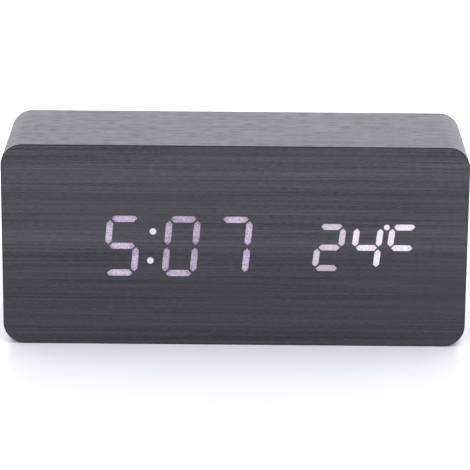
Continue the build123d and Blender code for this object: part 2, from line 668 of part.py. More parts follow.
def rear_cover_screws():
    """Screws through the cover's corners into the corner blocks."""
    seat = COVER_IN_Y + SINK_FLOOR
    return group([screw(x, z, COVER_SCREW_LENGTH, seat, -1) for x, z in BLOCK_SPOTS])


def door_hook(x):
    """Hook inside the door's lower edge that reaches behind the cover."""
    arm = BAY_LOW_Z + HOOK_GAP
    profile = Polyline(
        (HINGE_Y, arm),
        (HOOK_Y, arm),
        (HOOK_Y, DOOR_LOW_Z - HOOK_DROP),
        (HOOK_Y - HOOK, DOOR_LOW_Z - HOOK_DROP),
        (HOOK_Y - HOOK, arm + HOOK),
        (HINGE_Y, arm + HOOK),
        close=True,
    )
    return extrude(Plane.YZ.offset(x - HOOK_WIDTH / 2) * make_face(profile), HOOK_WIDTH)


def battery_door():
    """Door with a round lower edge to swing on, two hooks, and a slit latch tongue with a finger lip."""
    corners = [(DOOR_IN_Y, HINGE_Z), (DOOR_IN_Y, DOOR_HIGH_Z), (COVER_Y, DOOR_HIGH_Z), (COVER_Y, HINGE_Z)]
    nose = ThreePointArc(corners[-1], (HINGE_Y, DOOR_LOW_Z), corners[0])
    profile = make_face([*Polyline(*corners).edges(), nose])
    door = extrude(Plane.YZ.offset(TRAY_X - DOOR_WIDTH / 2) * profile, DOOR_WIDTH)
    top = door.edges().filter_by(Axis.Y).group_by(Axis.Z)[-1]
    door = fillet(top, DOOR_CORNER)
    door += [door_hook(x) for x in HOOK_X]
    slit_z = DOOR_HIGH_Z - TONGUE_LENGTH / 2
    slit_height = TONGUE_LENGTH + CUT_OVERRUN
    for side in (-1, 1):
        x = TRAY_X + side * (TONGUE_WIDTH + TONGUE_SLIT) / 2
        slit = block(x, slit_z + CUT_OVERRUN / 2, TONGUE_SLIT, slit_height, DOOR_IN_Y, COVER_Y)
        door -= slit
    lip_z = DOOR_HIGH_Z - LIP_WIDTH / 2
    return door + block(TRAY_X, lip_z, TONGUE_WIDTH, LIP_WIDTH, HINGE_Y, COVER_Y + LIP)


def cell_ends(place):
    """X of a cell's flat end and of its nub's end."""
    side = CELL_SIDES[place]
    nub = TRAY_X + side * (BAY_LENGTH / 2 - PLATE)
    return nub - side * CELL_LENGTH, nub


def aaa_cells():
    """Three dry cells, each the other way round from the next."""
    can_length = CELL_LENGTH - NUB
    cells = []
    for place, z in enumerate(CELL_Z):
        flat, nub = cell_ends(place)
        can = Cylinder(CELL_DIAMETER / 2, can_length)
        can = chamfer(can.edges().filter_by(GeomType.CIRCLE), CELL_BEVEL)
        knob = Pos(0, 0, (can_length + NUB) / 2) * Cylinder(NUB_DIAMETER / 2, NUB)
        way = Rot(0, CELL_SIDES[place] * 90, 0)
        cells.append(Pos(flat + CELL_SIDES[place] * can_length / 2, CELL_Y, z) * way * (can + knob))
    return group(cells)


def biarc(start, start_way, end, end_way):
    """Two tangent arcs that leave one point and reach another along the given directions."""
    chord, ways = end - start, start_way + end_way
    spread = 2 * (1 - start_way.dot(end_way))
    along = chord.dot(ways)
    reach = (math.sqrt(along ** 2 + spread * chord.dot(chord)) - along) / spread
    middle = (start + start_way * reach + end - end_way * reach) / 2
    first = TangentArc(start, middle, tangent=start_way)
    return [first, TangentArc(middle, end, tangent=first % 1)]


def spring_turn(share):
    """Point and direction on the cone-shaped winding, share of the way along it, from a base at zero."""
    base, tip = SPRING_BASE_DIAMETER / 2, SPRING_TIP_DIAMETER / 2
    sweep_angle, climb = 2 * math.pi * SPRING_TURN_COUNT, SPRING_TURN_COUNT * SPRING_PITCH
    radius = base + (tip - base) * share
    cosine, sine = math.cos(sweep_angle * share), math.sin(sweep_angle * share)
    point = Vector(WIRE + SPRING_BEND + climb * share, radius * cosine, radius * sine)
    swing, draw = sweep_angle * radius, tip - base
    way = Vector(climb, draw * cosine - swing * sine, draw * sine + swing * cosine)
    return point, way.normalized()


def spring_path():
    """Straight foot, quarter bend, winding of quarter turns, quarter bend, straight tip, along X."""
    forward = Vector(1, 0, 0)
    quarters = 4 * SPRING_TURN_COUNT
    turns = [spring_turn(quarter / quarters) for quarter in range(quarters + 1)]
    (first, first_way), (last, last_way) = turns[0], turns[-1]
    foot = first - first_way * SPRING_BEND
    foot = Vector(WIRE, foot.Y, foot.Z)
    tip = last + last_way * SPRING_BEND
    tip = Vector(SPRING_LENGTH - WIRE, tip.Y, tip.Z)
    stations = [(foot, forward), *turns, (tip, forward)]
    edges = [Line(foot - forward * WIRE, foot)]
    for (start, start_way), (end, end_way) in zip(stations, stations[1:]):
        edges += biarc(start, start_way, end, end_way)
    edges.append(Line(tip, tip + forward * WIRE))
    return Wire(edges)


def spring_gap(path):
    """Least gap between the wire's neighbouring turns, measured on points along the path."""
    points = [path.position_at(step / SPRING_POINT_COUNT) for step in range(SPRING_POINT_COUNT + 1)]
    half_turn = SPRING_POINT_COUNT // (2 * SPRING_TURN_COUNT)
    spans = [(a - b).length for place, a in enumerate(points) for b in points[place + half_turn:]]
    return min(spans) - WIRE


def wire_section(path, diameter):
    """Section of a thin wire at the start of its path, drawn with a few flats."""
    return Plane(origin=path @ 0, z_dir=path % 0) * RegularPolygon(diameter / 2, WIRE_FLAT_COUNT)


def battery_springs():
    """One wound contact spring against each cell's flat end."""
    path = spring_path()
    print(f"battery spring: least gap between turns {spring_gap(path):.2f} mm")
    wound = sweep(wire_section(path, WIRE), path)
    springs = []
    for place, z in enumerate(CELL_Z):
        side = CELL_SIDES[place]
        turn = Rot(0, 0, 0) if side > 0 else Rot(0, 0, 180)
        springs.append(Pos(cell_ends(place)[0] - side * SPRING_LENGTH, CELL_Y, z) * turn * wound)
    return group(springs)


def tail_spots():
    """Where the first and last contact plates pass through the tray's floor."""
    reach = (BAY_LENGTH - PLATE) / 2
    return [(TRAY_X - CELL_SIDES[0] * reach, CELL_Z[0]), (TRAY_X + CELL_SIDES[-1] * reach, CELL_Z[-1])]


def battery_contacts():
    """Contact plates that link the cells in a chain, the first and last with a solder tail."""
    reach = (BAY_LENGTH - PLATE) / 2
    width = CELL_DIAMETER - PLATE_INSET
    back = CELL_Y + width / 2
    plates = [block(x, z, PLATE, width, FLOOR_Y, back) for x, z in tail_spots()]
    for place in range(CELL_COUNT - 1):
        x = TRAY_X + CELL_SIDES[place] * reach
        middle = (CELL_Z[place] + CELL_Z[place + 1]) / 2
        plates.append(block(x, middle, PLATE, width + CELL_PITCH, FLOOR_Y, back))
    for place, (x, z) in enumerate(tail_spots()):
        plates[place] += block(x, z, PLATE, TAIL_WIDTH, TRAY_Y - TAIL_RISE, FLOOR_Y)
    return group(plates)


def battery_wires():
    """Two leads from the solder tails to the key board."""
    start_y = TRAY_Y - TAIL_RISE
    loop_y = start_y - LEAD_LOOP
    pad_x = KEY_BOARD_X + KEY_BOARD_WIDTH / 2 - LEAD_INSET
    leads = []
    for (x, z), side in zip(tail_spots(), (-1, 1)):
        pad_z = MID_Z + side * LEAD_SPREAD / 2
        route = [(x, start_y, z), (x, loop_y, z), (pad_x, loop_y, pad_z), (pad_x, KEY_BOARD_FRONT_Y, pad_z)]
        path = FilletPolyline(*route, radius=LEAD_BEND_SHARE * LEAD_LOOP)
        leads.append(sweep(wire_section(path, LEAD), path))
    return group(leads)


def key_board():
    """Circuit board that carries the switches, the jack, the microphone and the sensor."""
    board = block(KEY_BOARD_X, MID_Z, KEY_BOARD_WIDTH, KEY_BOARD_HEIGHT, KEY_BOARD_FRONT_Y, KEY_BOARD_Y)
    front, back = KEY_BOARD_FRONT_Y - CUT_OVERRUN, KEY_BOARD_Y + CUT_OVERRUN
    return board - [rod(x, z, SCREW_HOLE, front, back) for x, z in COVER_BOSS_SPOTS]


def key_board_screws():
    """Screws through the key board into the cover's bosses."""
    length = COVER_IN_Y - KEY_BOARD_FRONT_Y - SCREW_FLOOR
    return group([screw(x, z, length, KEY_BOARD_FRONT_Y, 1) for x, z in COVER_BOSS_SPOTS])


def key_switches():
    """Square push-switch bodies, each open for its plunger."""
    floor = SWITCH_Y - PLUNGER_DEPTH - KEY_TRAVEL - PLUNGER_GAP
    bodies = []
    for x in KEY_X:
        body = block(x, KEY_ROW_Z, SWITCH, SWITCH, KEY_BOARD_Y, SWITCH_Y)
        hole = rod(x, KEY_ROW_Z, PLUNGER_DIAMETER + 2 * PLUNGER_GAP, floor, SWITCH_Y + CUT_OVERRUN)
        bodies.append(body - hole)
    return group(bodies)


def key_plunger(x):
    """Round plunger that stands out of a switch and carries the key's cap."""
    return rod(x, KEY_ROW_Z, PLUNGER_DIAMETER, SWITCH_Y - PLUNGER_DEPTH, PLUNGER_Y)


def key_cap(x):
    """Round cap with an eased, dished face, a flange that keeps it in, and a post for the plunger."""
    top = COVER_Y + KEY_PROUD
    cap = rod(x, KEY_ROW_Z, KEY_DIAMETER, COVER_IN_Y, top)
    cap = fillet(cap.faces().sort_by(Axis.Y)[-1].edges(), KEY_ROUND)
    cap += rod(x, KEY_ROW_Z, KEY_FLANGE_DIAMETER, KEY_FLANGE_Y, COVER_IN_Y)
    cap += rod(x, KEY_ROW_Z, PLUNGER_DIAMETER, PLUNGER_Y, KEY_FLANGE_Y)
    reach = KEY_DIAMETER / 2 - KEY_ROUND
    ball = (reach ** 2 + KEY_DISH ** 2) / (2 * KEY_DISH)
    return cap - Pos(x, top + ball - KEY_DISH, KEY_ROW_Z) * Sphere(ball)


def dc_jack():
    """Round power jack standing on the key board, its nose level with the cover."""
    shoulder = COVER_IN_Y - JACK_SEAT_GAP
    jack = block(JACK_X, KEY_ROW_Z, JACK_BODY, JACK_BODY, KEY_BOARD_Y, shoulder)
    jack += rod(JACK_X, KEY_ROW_Z, JACK_NOSE, shoulder, COVER_Y)
    return jack - rod(JACK_X, KEY_ROW_Z, JACK_BORE, KEY_BOARD_Y + JACK_FLOOR, COVER_Y + CUT_OVERRUN)


def dc_jack_pin():
    """Centre pin of the jack, rounded at its tip."""
    pin = rod(JACK_X, KEY_ROW_Z, JACK_PIN, KEY_BOARD_Y + JACK_FLOOR, COVER_Y - JACK_PIN_SETBACK)
    return chamfer(pin.faces().sort_by(Axis.Y)[-1].edges(), JACK_PIN_BEVEL)


def microphone():
    """Sound capsule behind its port in the cover."""
    top = KEY_BOARD_Y + MICROPHONE_HEIGHT
    capsule = rod(JACK_X, LOW_ROW_Z, MICROPHONE_DIAMETER, KEY_BOARD_Y, top)
    return capsule - rod(JACK_X, LOW_ROW_Z, MICROPHONE_PORT, top - MICROPHONE_PORT_DEPTH, top + CUT_OVERRUN)


def temperature_sensor():
    """Glass bead on two legs behind the vents."""
    bead_y = KEY_BOARD_Y + SENSOR_RISE
    sensor = Pos(SENSOR_X, bead_y, LOW_ROW_Z) * Sphere(SENSOR_BEAD / 2)
    for side in (-1, 1):
        sensor += rod(SENSOR_X + side * SENSOR_LEG_SPREAD / 2, LOW_ROW_Z, SENSOR_LEG, KEY_BOARD_Y, bead_y)
    return sensor


def driver_chips():
    """Two chips that drive the LEDs."""
    places = [share * BOARD_WIDTH for share in DRIVER_X_SHARES]
    return group([chip(x, DRIVER_LENGTH, DRIVER_WIDTH, DRIVER_HEIGHT) for x in places])


def controller_chip():
    """Clock controller."""
    x = CONTROLLER_X_SHARE * BOARD_WIDTH
    return chip(x, CONTROLLER_LENGTH, CONTROLLER_WIDTH, CONTROLLER_HEIGHT)


def unlit_windows():
    """Film windows of every stroke that is dark now."""
    dark = windows(TIME_DIGITS, TIME_LIT, False)
    return group(dark + windows(TEMPERATURE_DIGITS, TEMPERATURE_LIT, False))


def main():
    """Build every node and write its file."""
    nodes = {
        "case_sleeve": case_sleeve(),
        "front_board": front_board(),
        "front_film": front_film(),
        "lit_time_windows": group(windows(TIME_DIGITS, TIME_LIT, True)),
        "lit_colon_windows": group([dot_window(spot) for spot in COLON_DOTS]),
        "lit_temperature_windows": group(windows(TEMPERATURE_DIGITS, TEMPERATURE_LIT, True)),
        "lit_degree_window": dot_window(DEGREE_SPOT),
        "unlit_windows": unlit_windows(),
        "diffuser_sheet": diffuser_sheet(),
        "segment_mask": segment_mask(),
        "display_board": display_board(),
        "segment_leds": segment_leds(),
        "display_board_screws": display_board_screws(),
        "controller_chip": controller_chip(),
        "driver_chips": driver_chips(),
        "clock_crystal": clock_crystal(),
        "buzzer": buzzer(),
        "ribbon_headers": ribbon_headers(),
        "ribbon_cable": ribbon_cable(),
        "corner_blocks": corner_blocks(),
        "rear_cover": rear_cover(),
        "rear_cover_screws": rear_cover_screws(),
        "battery_door": battery_door(),
        "aaa_cells": aaa_cells(),
        "battery_springs": battery_springs(),
        "battery_contacts": battery_contacts(),
        "battery_wires": battery_wires(),
        "key_board": key_board(),
        "key_board_screws": key_board_screws(),
        "key_switches": key_switches(),
        "dc_jack": dc_jack(),
        "dc_jack_pin": dc_jack_pin(),
        "microphone": microphone(),
        "temperature_sensor": temperature_sensor(),
    }
    for name, x in zip(KEY_NAMES, KEY_X):
        nodes[f"{name}_button"] = key_cap(x)
        nodes[f"{name}_plunger"] = key_plunger(x)
    os.makedirs("parts", exist_ok=True)
    for name, shape in nodes.items():
        export_step(shape, f"parts/{name}.step")


main()
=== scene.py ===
"""Finish of a wood-film desk clock: every surface of its fixed frame, and the studio it stands in."""

import math

import bmesh
import bpy
from mathutils import Matrix, Vector


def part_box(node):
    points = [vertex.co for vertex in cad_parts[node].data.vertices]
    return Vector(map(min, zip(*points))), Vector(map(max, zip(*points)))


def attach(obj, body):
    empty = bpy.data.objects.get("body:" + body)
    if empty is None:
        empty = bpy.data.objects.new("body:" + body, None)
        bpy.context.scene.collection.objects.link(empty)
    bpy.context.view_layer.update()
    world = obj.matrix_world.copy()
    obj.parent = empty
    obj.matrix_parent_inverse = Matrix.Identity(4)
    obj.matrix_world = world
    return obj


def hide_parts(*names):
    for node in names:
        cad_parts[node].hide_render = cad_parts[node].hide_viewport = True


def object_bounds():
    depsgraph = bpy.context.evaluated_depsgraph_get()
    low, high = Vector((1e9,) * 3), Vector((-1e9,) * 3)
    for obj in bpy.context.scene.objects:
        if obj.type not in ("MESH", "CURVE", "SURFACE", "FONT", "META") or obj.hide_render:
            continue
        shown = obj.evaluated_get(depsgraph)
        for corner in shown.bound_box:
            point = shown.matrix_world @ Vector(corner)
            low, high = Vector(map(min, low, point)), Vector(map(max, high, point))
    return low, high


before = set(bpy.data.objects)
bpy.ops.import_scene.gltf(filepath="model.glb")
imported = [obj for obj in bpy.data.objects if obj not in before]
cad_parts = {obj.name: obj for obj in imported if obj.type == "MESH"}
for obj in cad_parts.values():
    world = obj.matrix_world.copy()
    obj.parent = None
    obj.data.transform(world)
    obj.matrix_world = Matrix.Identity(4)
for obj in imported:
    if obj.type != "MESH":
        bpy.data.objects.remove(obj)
CAD_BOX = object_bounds()

bl_info = {
    "name": "Desk clock finish",
    "version": (1, 0, 0),
    "blender": (4, 5, 0),
    "location": "3D View > Sidebar > Desk clock",
    "description": "Finishes every piece of a wood-film desk clock and sets up its studio",
    "category": "Object",
}

# Corners of the pieces that others follow, in metres
SLEEVE_LOW, SLEEVE_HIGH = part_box("case_sleeve")
FILM_LOW, FILM_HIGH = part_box("front_film")
COVER_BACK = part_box("rear_cover")[1].y
DOOR_LOW, DOOR_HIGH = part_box("battery_door")
CELLS_LOW, CELLS_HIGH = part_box("aaa_cells")
SPRINGS_LOW, SPRINGS_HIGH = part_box("battery_springs")
SCREWS_LOW, SCREWS_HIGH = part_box("rear_cover_screws")
CELLS_Y = (CELLS_LOW.y + CELLS_HIGH.y) / 2
CELL_COUNT = 3

# How meshes are joined, eased and shaded: lengths in metres, angles in radians
WELD = 1e-6
FLAT_ANGLE = math.radians(0.5)
SHARP_ANGLE = math.radians(32.0)
EDGE_SEGMENTS = 2
EASE_STEPS = 6
GUARD_SHARE = 0.35

# Facets round a whole turn, or round one corner of the sleeve
SLEEVE_CORNER_STEPS = 28
KEY_STEPS = 64
CELL_STEPS = 48
HEAD_STEPS = 40
SHANK_STEPS = 24
COIL_STEPS = 40
WIRE_STEPS = 14

# Key caps: rings of the dish, and how much of the cap's flat the widest one takes
DISH_STEPS = 8
DISH_SHARE = 0.65

# Signs on the keys: corners, angle of the first corner and outlines as shares of the radius
SIGNS = {
    "set": (36, 0.0, (1.0, 0.62)),
    "up": (3, math.pi / 2, (1.0,)),
    "down": (3, -math.pi / 2, (1.0,)),
}

# Grip ribs: how many, and how many pitches the first lies below the door's edge
RIB_COUNT = 3
RIB_DROP = 2

# Screws: share of a head that its top takes, bands up its side, second bar's depth and seed of the turns
HEAD_TOP_SHARE = 0.84
HEAD_BANDS = 2
SLOT_STEP = 1.06
SPIN_SEED = 7

SPRING_TURNS = 3.75

# Rolled ends of a cell as shares of its radius: depth of the roll, then the grooves of both ends
ROLL_SHARE = 0.08
FOOT_GROOVE = (0.62, 0.68, 0.8, 0.84)
HEAD_GROOVE = (0.84, 0.78)

# Sockets of a Mix node for colours, and the output of a random value node that is one number
MIX_FACTOR, MIX_FIRST, MIX_SECOND, MIX_RESULT = 0, 6, 7, 2
RANDOM_NUMBER = 1

# Middle of a noise and of the printed grain
MIDDLE = 0.5

# Layers of the film: noise cells per metre along and across the wood, slice of the noise and its detail
FILM_LAYERS = {
    "waver": (16.0, 60.0, 0.0, 2.0),
    "lines": (14.0, 1750.0, 2.3, 1.0),
    "dashes": (540.0, 2900.0, 5.1, 1.0),
    "streaks": (2.5, 120.0, 8.7, 1.0),
    "patches": (22.0, 36.0, 11.0, 2.0),
    "clouds": (16.0, 48.0, 4.0, 2.0),
    "pores": (220.0, 2700.0, 6.0, 2.5),
    "breaks": (45.0, 1300.0, 1.7, 1.0),
    "specks": (2600.0, 2600.0, 3.3, 1.0),
}

# How far the printed lines and the pores waver to a side, in metres
LINE_WAVER = 0.0004
PORE_WAVER = 0.0025

# How strongly each printed layer shows
FACE_CONTRAST = {"lines": 1.4, "dashes": 1.1, "streaks": 0.7}
SLEEVE_CONTRAST = {"lines": 0.9, "dashes": 0.9, "streaks": 0.6}

# Painted shade up the face, as a share of its height and a level: the face darkens towards its bottom, where
# less light falls, with a darker band near three quarters of the way up
FACE_SHADE_RAMP = (
    (0.0, 0.74), (0.12, 0.66), (0.36, 0.66), (0.53, 1.0),
    (0.68, 0.98), (0.745, 0.84), (0.80, 1.0), (1.0, 1.06),
)

# Film on the face and its trimmed edge
PATCH_STRENGTH = 0.45
FACE_ROUGHNESS = 0.44
FACE_UNEVENNESS = 0.12
FACE_GLOSS = 0.4
CUT_ROUGHNESS = 0.6
CUT_GLOSS = 0.2
TRIM_FULL_SHARE = 0.4

# Film on the sleeve: what short pores and long breaks add to the pores, and what pores add to the film
PORE_SHARE = 0.7
BREAK_SHARE = 0.3
PORE_STRENGTH = 0.75
PORE_ROUGHNESS = 0.35
PORE_GRAIN_RELIEF = 0.3
SLEEVE_ROUGHNESS = 0.29
SLEEVE_UNEVENNESS = 0.08

# Lit strokes: how they fade to their ends, sides and specks, and how the grain, the tips and the specks show
FADE_ALONG = 0.75
FADE_ACROSS = 0.25
FADE_SPECKS = 0.5
GRAIN_IN_LIGHT = 0.25
TIP_SLANT = 0.25
TIME_SPECKLE = 1.8
TEMPERATURE_SPECKLE = 0.8

# Lit dots, and the roughness of every lit window
RING_STRENGTH = 0.35
DOT_BASE = (0.03, 0.03, 0.035)
WINDOW_ROUGHNESS = 0.45

# Sway of the light from stroke to stroke: radians per metre to the right and up, and how far it goes
TIME_SWAY = (900.0, 500.0, 0.02)
TEMPERATURE_SWAY = (1300.0, 700.0, 0.015)

# Characters in the time and in the temperature, and the share of their height that a foot takes
CHARACTERS = 3
FOOT_SHARE = 1 / 8

# Where an effect begins and where it is full
RANGES = {
    "patches": (0.0, 0.18),
    "pores": (-0.06, 0.22),
    "breaks": (0.0, 0.2),
    "stroke fade": (0.05, 0.95),
    "stroke side": (0.84, 1.08),
    "stroke tip": (0.97, 1.03),
    "ring start": (0.08, 0.2),
    "ring end": (0.26, 0.4),
    "dot rim": (0.72, 1.06),
    "metal marks": (0.35, 0.75),
    "fibres": (0.4, 0.7),
    "tracks": (0.03, 0.07),
    "band start": (0.735, 0.74),
    "band end": (0.90, 0.905),
    "cell foot": (0.03, 0.035),
    "cell head": (0.965, 0.97),
}

# Bump strength of a finish, and its depth in metres where that is always the same
FACE_RELIEF = (0.2, 0.00004)
SLEEVE_RELIEF = (0.5, 0.00006)
PLASTIC_RELIEF = 0.4
METAL_RELIEF = (0.15, 0.00002)
FIBRE_RELIEF = (0.4, 0.00008)
TRACK_RELIEF = (0.3, 0.00004)
CELL_RELIEF = (0.1, 0.00003)

# Even patterns of the other finishes: noise cells per metre and detail, or detail alone
SHEEN_NOISE = (60.0, 2.0)
FIBRE_NOISE = (900.0, 4.0)
WEAVE_NOISE = (1600.0, 2.0)
SCUFF_NOISE = (500.0, 3.0)
FLOOR_NOISE = (7.0, 3.0)
TEXTURE_DETAIL = 2.0
MARK_DETAIL = 3.0

# How the other finishes vary in tone and sheen
SHEEN_SWING = 0.16
PLASTIC_LIGHTER = 1.5
PLASTIC_TEXTURE_TONE = 0.4
PLASTIC_SHEEN_TONE = 0.3
PLASTIC_TEXTURE_SHEEN = 0.08
METAL_DARKER = 0.72
FIBRE_ROUGHNESS = 0.85
BOARD_ROUGHNESS = 0.35
BOARD_UNEVENNESS = 0.1
CELL_ROUGHNESS = 0.28
CELL_UNEVENNESS = 0.2
CELL_METAL = 0.9
FLOOR_DARKER = 0.985
FLOOR_ROUGHNESS = 0.30
FLOOR_UNEVENNESS = 0.05

# Bare ends of a cell, raw board and circuit board with its copper lines
BARE_TONE = (0.62, 0.62, 0.6)
FIBRE_TONES = ((0.36, 0.24, 0.14), (0.22, 0.13, 0.07))
BOARD_TONES = ((0.008, 0.06, 0.028), (0.014, 0.085, 0.04))
TRACK_TONE = (0.05, 0.17, 0.07)
TRACK_STRENGTH = 0.6
TRACK_CELLS = 260.0
TRACK_SLICE = 0.5

# Texture of each moulded piece: roughness, then size of a texture cell and depth in metres
COVER_TEXTURE = (0.52, 0.00042, 0.00005)
DOOR_TEXTURE = (0.48, 0.00042, 0.00005)
KEY_TEXTURE = (0.42, 0.0003, 0.00002)
SIGN_TEXTURE = (0.5, 0.0004, 0.00001)

# Plastics of the inner pieces: nodes, tone, roughness, size of a texture cell and depth in metres
DISPLAY_PLASTICS = {
    "milky_sheet": (["diffuser_sheet"], (0.8, 0.8, 0.82), 0.4, 0.0008, 0.00001),
    "mask_white": (["segment_mask"], (0.75, 0.75, 0.74), 0.5, 0.0006, 0.00002),
    "led_body": (["segment_leds"], (0.75, 0.72, 0.5), 0.35, 0.0003, 0.00001),
    "chip_black": (["controller_chip", "driver_chips"], (0.02, 0.02, 0.021), 0.55, 0.0002, 0.00001),
    "buzzer_black": (["buzzer"], (0.018, 0.018, 0.019), 0.45, 0.0004, 0.00002),
    "header_white": (["ribbon_headers"], (0.7, 0.69, 0.64), 0.5, 0.0005, 0.00002),
    "ribbon_grey": (["ribbon_cable"], (0.3, 0.3, 0.31), 0.55, 0.0012, 0.00004),
}
REAR_PLASTICS = {
    "switch_black": (["key_switches"], (0.02, 0.02, 0.021), 0.5, 0.0004, 0.00002),
    "bead_glass": (["temperature_sensor"], (0.28, 0.12, 0.04), 0.12, 0.0005, 0.000005),
    "lead_cover": (["battery_wires"], (0.28, 0.015, 0.012), 0.42, 0.0009, 0.00002),
}
JACK_BLACK = ((0.014, 0.014, 0.015), 0.36, 0.0003, 0.00002)

# Metals of the inner pieces: nodes, tone, roughness and size of a drawn mark in metres
DISPLAY_METALS = {
    "can_metal": (["clock_crystal"], (0.72, 0.72, 0.7), 0.3, 0.0006),
    "inner_screw_steel": (["display_board_screws", "key_board_screws"], (0.56, 0.55, 0.53), 0.32, 0.0005),
}
REAR_METALS = {
    "pin_brass": (["dc_jack_pin"], (0.72, 0.55, 0.26), 0.25, 0.0004),
    "microphone_can": (["microphone"], (0.66, 0.66, 0.65), 0.32, 0.0006),
}
SCREW_STEEL = ((0.50, 0.49, 0.47), 0.3, 0.0004)
NICKEL = ((0.68, 0.66, 0.61), 0.28, 0.0005)

# Place and size of each light, and the nearest that the camera sees, in metres
LIGHTS = {
    "overhead": ((0.0, -0.15, 1.3), (1.6, 1.6)),
    "fill": ((0.9, -1.1, 0.6), (0.7, 0.7)),
    "rear_light": ((0.35, 1.5, 0.5), (2.6, 1.0)),
}
CAMERA_NEAR = 0.05


def length(name, description, default):
    """Size in metres that a user may change."""
    return bpy.props.FloatProperty(
        name=name, description=description, default=default, unit="LENGTH", precision=5
    )


def share(name, description, default):
    """Amount from 0 to 1 that a user may change."""
    return bpy.props.FloatProperty(
        name=name, description=description, default=default, min=0.0, max=1.0, subtype="FACTOR"
    )


def tone(name, description, default):
    """Colour that a user may change, in linear light."""
    return bpy.props.FloatVectorProperty(
        name=name, description=description, default=default, min=0.0, max=1.0, subtype="COLOR"
    )


def angle(name, description, degrees):
    """Angle that a user may change."""
    return bpy.props.FloatProperty(
        name=name, description=description, default=math.radians(degrees), subtype="ANGLE"
    )


def power(name, description, watts):
    """Light output that a user may change."""
    return bpy.props.FloatProperty(
        name=name, description=description, default=watts, min=0.0, unit="POWER"
    )


class CaseLook(bpy.types.PropertyGroup):
    """Rounding of the sleeve and tones of its wood film."""

    corner: length("Corner radius", "Outer radius of the sleeve's corners", 0.007)
    wall: length("Wall", "Thickness of the sleeve's board", 0.005)
    rear_edge: length("Rear edge", "Rounding of the sleeve's rear edge", 0.0004)
    stride: length("Stride", "Length of each facet round the sleeve", 0.0005)
    film_tone: tone("Film", "Light tone of the printed grain", (0.076, 0.074, 0.0855))
    vein_tone: tone("Vein", "Dark tone of the printed grain", (0.018, 0.0175, 0.022))
    warm_tone: tone("Warm patch", "Greener tone that some of the film has", (0.049, 0.050, 0.046))
    trim: length("Trim", "Width of the dark line round the face", 0.0004)
    cut_tone: tone("Cut edge", "Dark core where the film is trimmed", (0.018, 0.0165, 0.024))
    pore_tone: tone("Pore", "Dark pores pressed in the wrapped film", (0.022, 0.022, 0.030))


class DisplayLook(bpy.types.PropertyGroup):
    """Light of the digits."""

    time_tone: tone("Time", "Middle of a time stroke", (0.455, 0.385, 0.50))
    time_end_tone: tone("Time ends", "Ends of a time stroke", (0.20, 0.165, 0.225))
    dot_tone: tone("Dots", "Colon and degree dot", (0.86, 0.80, 0.86))
    dot_ring_tone: tone("Dot ring", "Faint ring in the middle of a dot", (0.50, 0.46, 0.53))
    temperature_tone: tone("Temperature", "Middle of a temperature stroke", (0.78, 0.73, 0.79))
    temperature_end_tone: tone("Temperature ends", "Ends of a temperature stroke", (0.60, 0.54, 0.60))
    aged_tone: tone("Aged stroke", "Pinker light of the first temperature digit's foot", (0.85, 0.74, 0.72))
    rim_tone: tone("Stroke rim", "Dark rim where the film is thicker", (0.075, 0.055, 0.09))
    first_digit_glow: share("First digit", "How bright the first temperature digit is", 0.68)
    middle_digit_glow: share("Middle digit", "How bright the middle time digit is", 0.8)
    colon_glow: share("Colon", "How bright the colon is beside the degree dot", 0.86)


class RearLook(bpy.types.PropertyGroup):
    """Cover, door and keys at the back."""

    cover_tone: tone("Cover", "Moulded cover and door", (0.017, 0.017, 0.019))
    key_tone: tone("Keys", "Key caps", (0.026, 0.026, 0.029))
    sign_tone: tone("Signs", "Printed signs on the keys", (0.52, 0.52, 0.55))
    edge: length("Edge", "Rounding of moulded edges", 0.00012)
    key_diameter: length("Key", "Diameter of a key cap", 0.007)
    key_round: length("Key rounding", "Rounding of a key cap's rim", 0.0005)
    key_dish: length("Key dish", "Depth of the dish in a key cap", 0.0003)
    flange: length("Key flange", "Thickness of the flange that keeps a key in", 0.001)
    post: length("Key post", "Length of the post that meets the plunger", 0.0006)
    post_diameter: length("Post", "Diameter of the post", 0.0034)
    sign_radius: length("Sign", "Radius of the sign on a key", 0.0014)
    sign_height: length("Sign height", "How far a sign stands out of its dish", 0.00012)
    rib_length: length("Grip rib", "Length of each rib on the door's tongue", 0.006)
    rib_width: length("Rib width", "Width of each rib", 0.0006)
    rib_height: length("Rib height", "How far a rib stands out", 0.00025)
    rib_pitch: length("Rib pitch", "From one rib to the next", 0.0014)


class FastenerLook(bpy.types.PropertyGroup):
    """Screws, springs and cells."""

    head_diameter: length("Head", "Diameter of a screw head", 0.004)
    head_height: length("Head height", "Height of a screw head", 0.0013)
    slot_length: length("Slot", "Length of the cross recess", 0.0024)
    slot_width: length("Slot width", "Width of the cross recess", 0.00062)
    slot_depth: length("Slot depth", "Depth of the cross recess", 0.0007)
    shank_diameter: length("Shank", "Diameter of a screw's shank", 0.0022)
    wire: length("Spring wire", "Diameter of the spring wire", 0.0006)
    spring_base: length("Spring base", "Widest diameter of a battery spring", 0.0064)
    spring_tip: length("Spring tip", "Narrowest diameter of a battery spring", 0.0042)
    cell_diameter: length("Cell", "Diameter of a dry cell", 0.0105)
    cell_length: length("Cell length", "Length of a dry cell with its nub", 0.0445)
    nub_diameter: length("Nub", "Diameter of a cell's nub", 0.0038)
    nub: length("Nub height", "Height of a cell's nub", 0.001)
    cell_tone: tone("Cell", "Printed sleeve of a cell", (0.045, 0.105, 0.16))
    band_tone: tone("Band", "Band at the nub end of a cell", (0.50, 0.52, 0.54))


